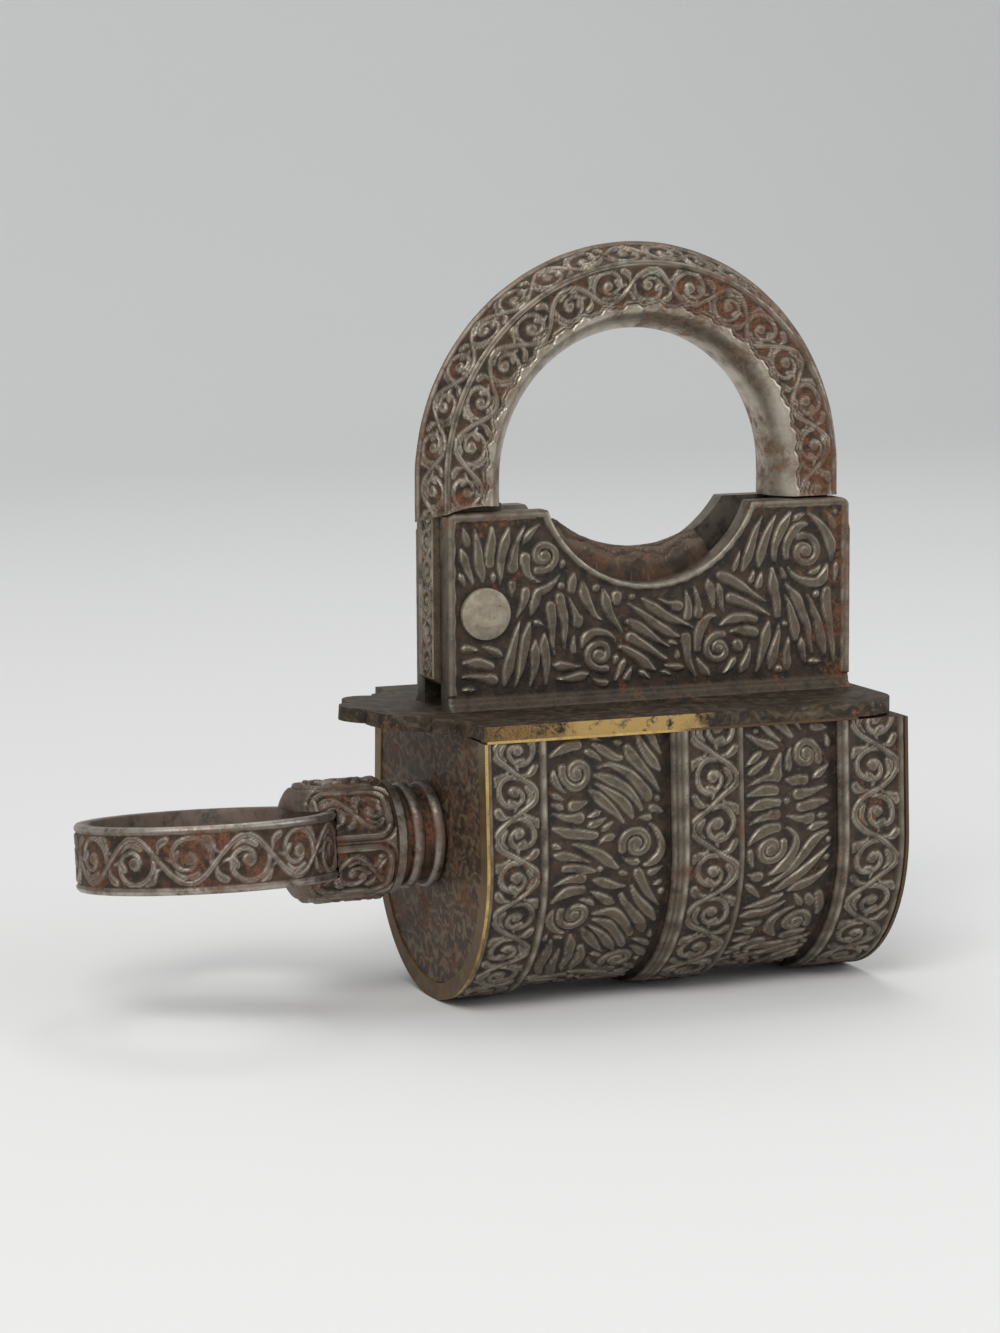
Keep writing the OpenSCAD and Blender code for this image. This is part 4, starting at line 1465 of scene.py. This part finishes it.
# The tops of the turned beads are painted bright: wear and a painted highlight.
rim = np.where(turned & (radii > 7.9), 0.55, rim)
height = np.where(turned, np.where(radii > 7.9, 0.8, 0.1), height)
height = np.where(aways <= 0.5, 0.3, height)
radii = radii - HUB_DEPTH * (1 - height) * carving
hub_points = np.stack([-aways, -radii * np.cos(turns), radii * np.sin(turns)], 2)
hub_stain = 0.30 * soft(0.5 + np.sin(2.0 * turns + 0.4 * aways))
hub = woven("key_hub_carved", at_home(hub_points), height, rim, stain=hub_stain, smooth=40)
fork_turn = (KEY_TURN, 0, 0)
disc_at = (RING_X, 0, KEY_Z)
fork_width = 2 * (RING_HALF + FORK_GAP)
drill(hub, bar("fork_tool", RING_R + FORK_GAP, fork_width, disc_at, fork_turn, 128))
dress(hub, key_steel, "key_steel", "key", "key_hub")

# %% [markdown]
# ## Rivet
# The hinge rivet's head was dressed with a hammer, so it is a low dome of flat facets that meet in
# a soft upright ridge. The hull of a rim ring and a few facet corners gives exactly that.

# %% Rivet
RIVET_R = 4.0
RIVET_H = 1.3
RIVET_LIP = 0.26
RIVET_SUNK = 0.4
RIVET_BAR = 2.5
FACETS = [(0.15, 1.00, 1.7), (-0.20, 1.00, -1.8), (2.3, 0.68, 1.4), (2.2, 0.62, -1.5),
          (-2.1, 0.66, 1.5), (-1.9, 0.58, -1.7)]


def rivet_head(way):
    """A domed head on the front (-1) or the back (1), sunk a little into the cheek."""
    circle = [(RIVET_R * math.cos(a), RIVET_R * math.sin(a))
              for a in np.linspace(0, 2 * math.pi, 41)[:-1]]
    corners = [(x, -RIVET_SUNK, z) for x, z in circle]
    corners += [(0.985 * x, RIVET_LIP, 0.985 * z) for x, z in circle]
    corners += [(x, RIVET_H * rise, z) for x, rise, z in FACETS]
    bpy.ops.object.select_all(action="DESELECT")
    bpy.ops.mesh.primitive_circle_add(vertices=len(corners))
    piece = named("rivet_head")
    set_points(piece, [(PIVOT[0] + x, way * (HOUSE_HALF + y), PIVOT[1] + z) for x, y, z in corners])
    edit(piece, lambda: bpy.ops.mesh.convex_hull(), turn_outwards)
    return piece


front_head = rivet_head(-1)
back_head = rivet_head(1)
shank_at = (PIVOT[0], 0, PIVOT[1])
shank = bar("rivet_shank", RIVET_BAR, 2 * HOUSE_HALF - 0.6, shank_at, (math.pi / 2, 0, 0))
rivet = join([front_head, back_head, shank])
rivet.name = "hinge_rivet_dressed"
rivet.data.name = "hinge_rivet_dressed"
bpy.ops.object.shade_smooth_by_angle(angle=math.radians(4))
dress(rivet, rivet_steel, "rivet_steel", "case", "hinge_rivet")

# %% [markdown]
# ## Cover plate
# The plate's outline is right in the CAD, only too crisp. A copy is welded, its flat faces are
# dissolved back to whole faces, and every edge gets a small worn round.

# %% Cover plate
PLATE_ROUND = 0.45
plate_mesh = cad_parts["cover_plate"].data.copy()
plate_mesh.name = "cover_plate_worn"
plate = bpy.data.objects.new("cover_plate_worn", plate_mesh)
bpy.context.scene.collection.objects.link(plate)
edit(plate,
     lambda: bpy.ops.mesh.remove_doubles(threshold=0.00001),
     lambda: bpy.ops.mesh.dissolve_limited(angle_limit=math.radians(1)))
apply(plate, "BEVEL", width=PLATE_ROUND * MM, segments=3, limit_method="ANGLE",
      angle_limit=math.radians(40))
bpy.ops.object.shade_smooth_by_angle(angle=math.radians(35))
dress(plate, dark_plate, "dark_plate", "case", "cover_plate")

# %% [markdown]
# ## Plain CAD pieces
# End plates, brass rims and seams, the bush and the works inside keep their CAD shapes and take a
# finish.

# %% Finishes on CAD nodes
FINISHES = {
    end_steel: ("key_end_plate", "far_end_plate"),
    braze_brass: ("key_rim", "far_rim", "plate_seams", "keyhole_bush"),
    inner_steel: ("spring_bulkhead", "guide_rails", "pin_guide", "bolt_web", "screw_tail",
                  "locking_pin", "spring_washer", "coil_spring"),
}
for material, names in FINISHES.items():
    for name in names:
        for material_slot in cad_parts[name].material_slots:
            material_slot.material = material
    print(material.name, "on", names)

# %% [markdown]
# ## Floor and backdrop
# A pale sheet sweeps from the floor up behind the lock, so that no edge shows in front views.

# %% Floor and backdrop
FLOOR_Z = -0.1027
FLOOR_SIZE = 6
FLOOR_Y = -1.6
BACKDROP = (0, 0.35, 2.6)
SWEEP = 0.5
bpy.ops.object.select_all(action="DESELECT")
bpy.ops.mesh.primitive_plane_add(size=FLOOR_SIZE, location=(0, FLOOR_Y, FLOOR_Z))
floor = bpy.context.object
floor.name = "studio_floor"

# Only the far edge is selected, and extruded upwards as the backdrop.
for corner in floor.data.vertices:
    corner.select = corner.co.y > 0
for side in floor.data.edges:
    side.select = all(floor.data.vertices[k].co.y > 0 for k in side.vertices)
for sheet_face in floor.data.polygons:
    sheet_face.select = False
only(floor)
bpy.ops.object.mode_set(mode="EDIT")
bpy.ops.mesh.select_mode(type="EDGE")
bpy.ops.mesh.extrude_region_move(TRANSFORM_OT_translate={"value": BACKDROP})
bpy.ops.object.mode_set(mode="OBJECT")
apply(floor, "BEVEL", width=SWEEP, segments=12, limit_method="ANGLE", angle_limit=math.radians(20))
bpy.ops.object.shade_smooth_by_angle(angle=math.radians(60))
bpy.ops.object.transform_apply(location=True, rotation=True, scale=True)

paper = Recipe("studio_paper")
paper_place = paper.node("ShaderNodeTexCoord", out=3)
paper_cloud = paper.noise(paper_place, 3.0, 2.0)
paper_colour = paper.blend(paper_cloud, tone(0.80, 0.80, 0.79), tone(0.84, 0.84, 0.83))
floor.data.materials.append(paper.finish({"Base Color": paper_colour, "Roughness": 0.9}))
print("floor at", FLOOR_Z, "m, as one sheet with the backdrop")

# %% [markdown]
# ## Lamps and sky
# One soft square lamp stands front left and high, a weaker one fills from the right and a third
# stands above and behind. All face the lock, and a pale sky does the rest.

# %% Lamps and sky
LAMP_AIM = Vector((0, 0, -0.05))


def lamp(name, at, size, power, tint):
    bpy.ops.object.select_all(action="DESELECT")
    direction = LAMP_AIM - Vector(at)
    bpy.ops.object.light_add(type="AREA", location=at,
                             rotation=direction.to_track_quat("-Z", "Y").to_euler())
    made = bpy.context.object
    made.name = name
    made.data.shape = "SQUARE"
    made.data.size = size
    made.data.energy = power
    made.data.color = tint


lamp("key_lamp", (-0.55, -0.75, 0.75), 0.55, 6.6, (1.0, 0.985, 0.96))
lamp("fill_lamp", (0.85, -0.55, 0.35), 0.6, 2.6, (0.96, 0.98, 1.0))
lamp("top_lamp", (0.1, 0.35, 0.95), 0.6, 3.0, (1.0, 1.0, 1.0))

world = bpy.data.worlds.new("pale_sky")
world.use_nodes = True
world.node_tree.nodes["Background"].inputs["Color"].default_value = tone(0.86, 0.88, 0.90)
world.node_tree.nodes["Background"].inputs["Strength"].default_value = 0.50
bpy.context.scene.world = world
bpy.context.scene.view_settings.view_transform = "Standard"
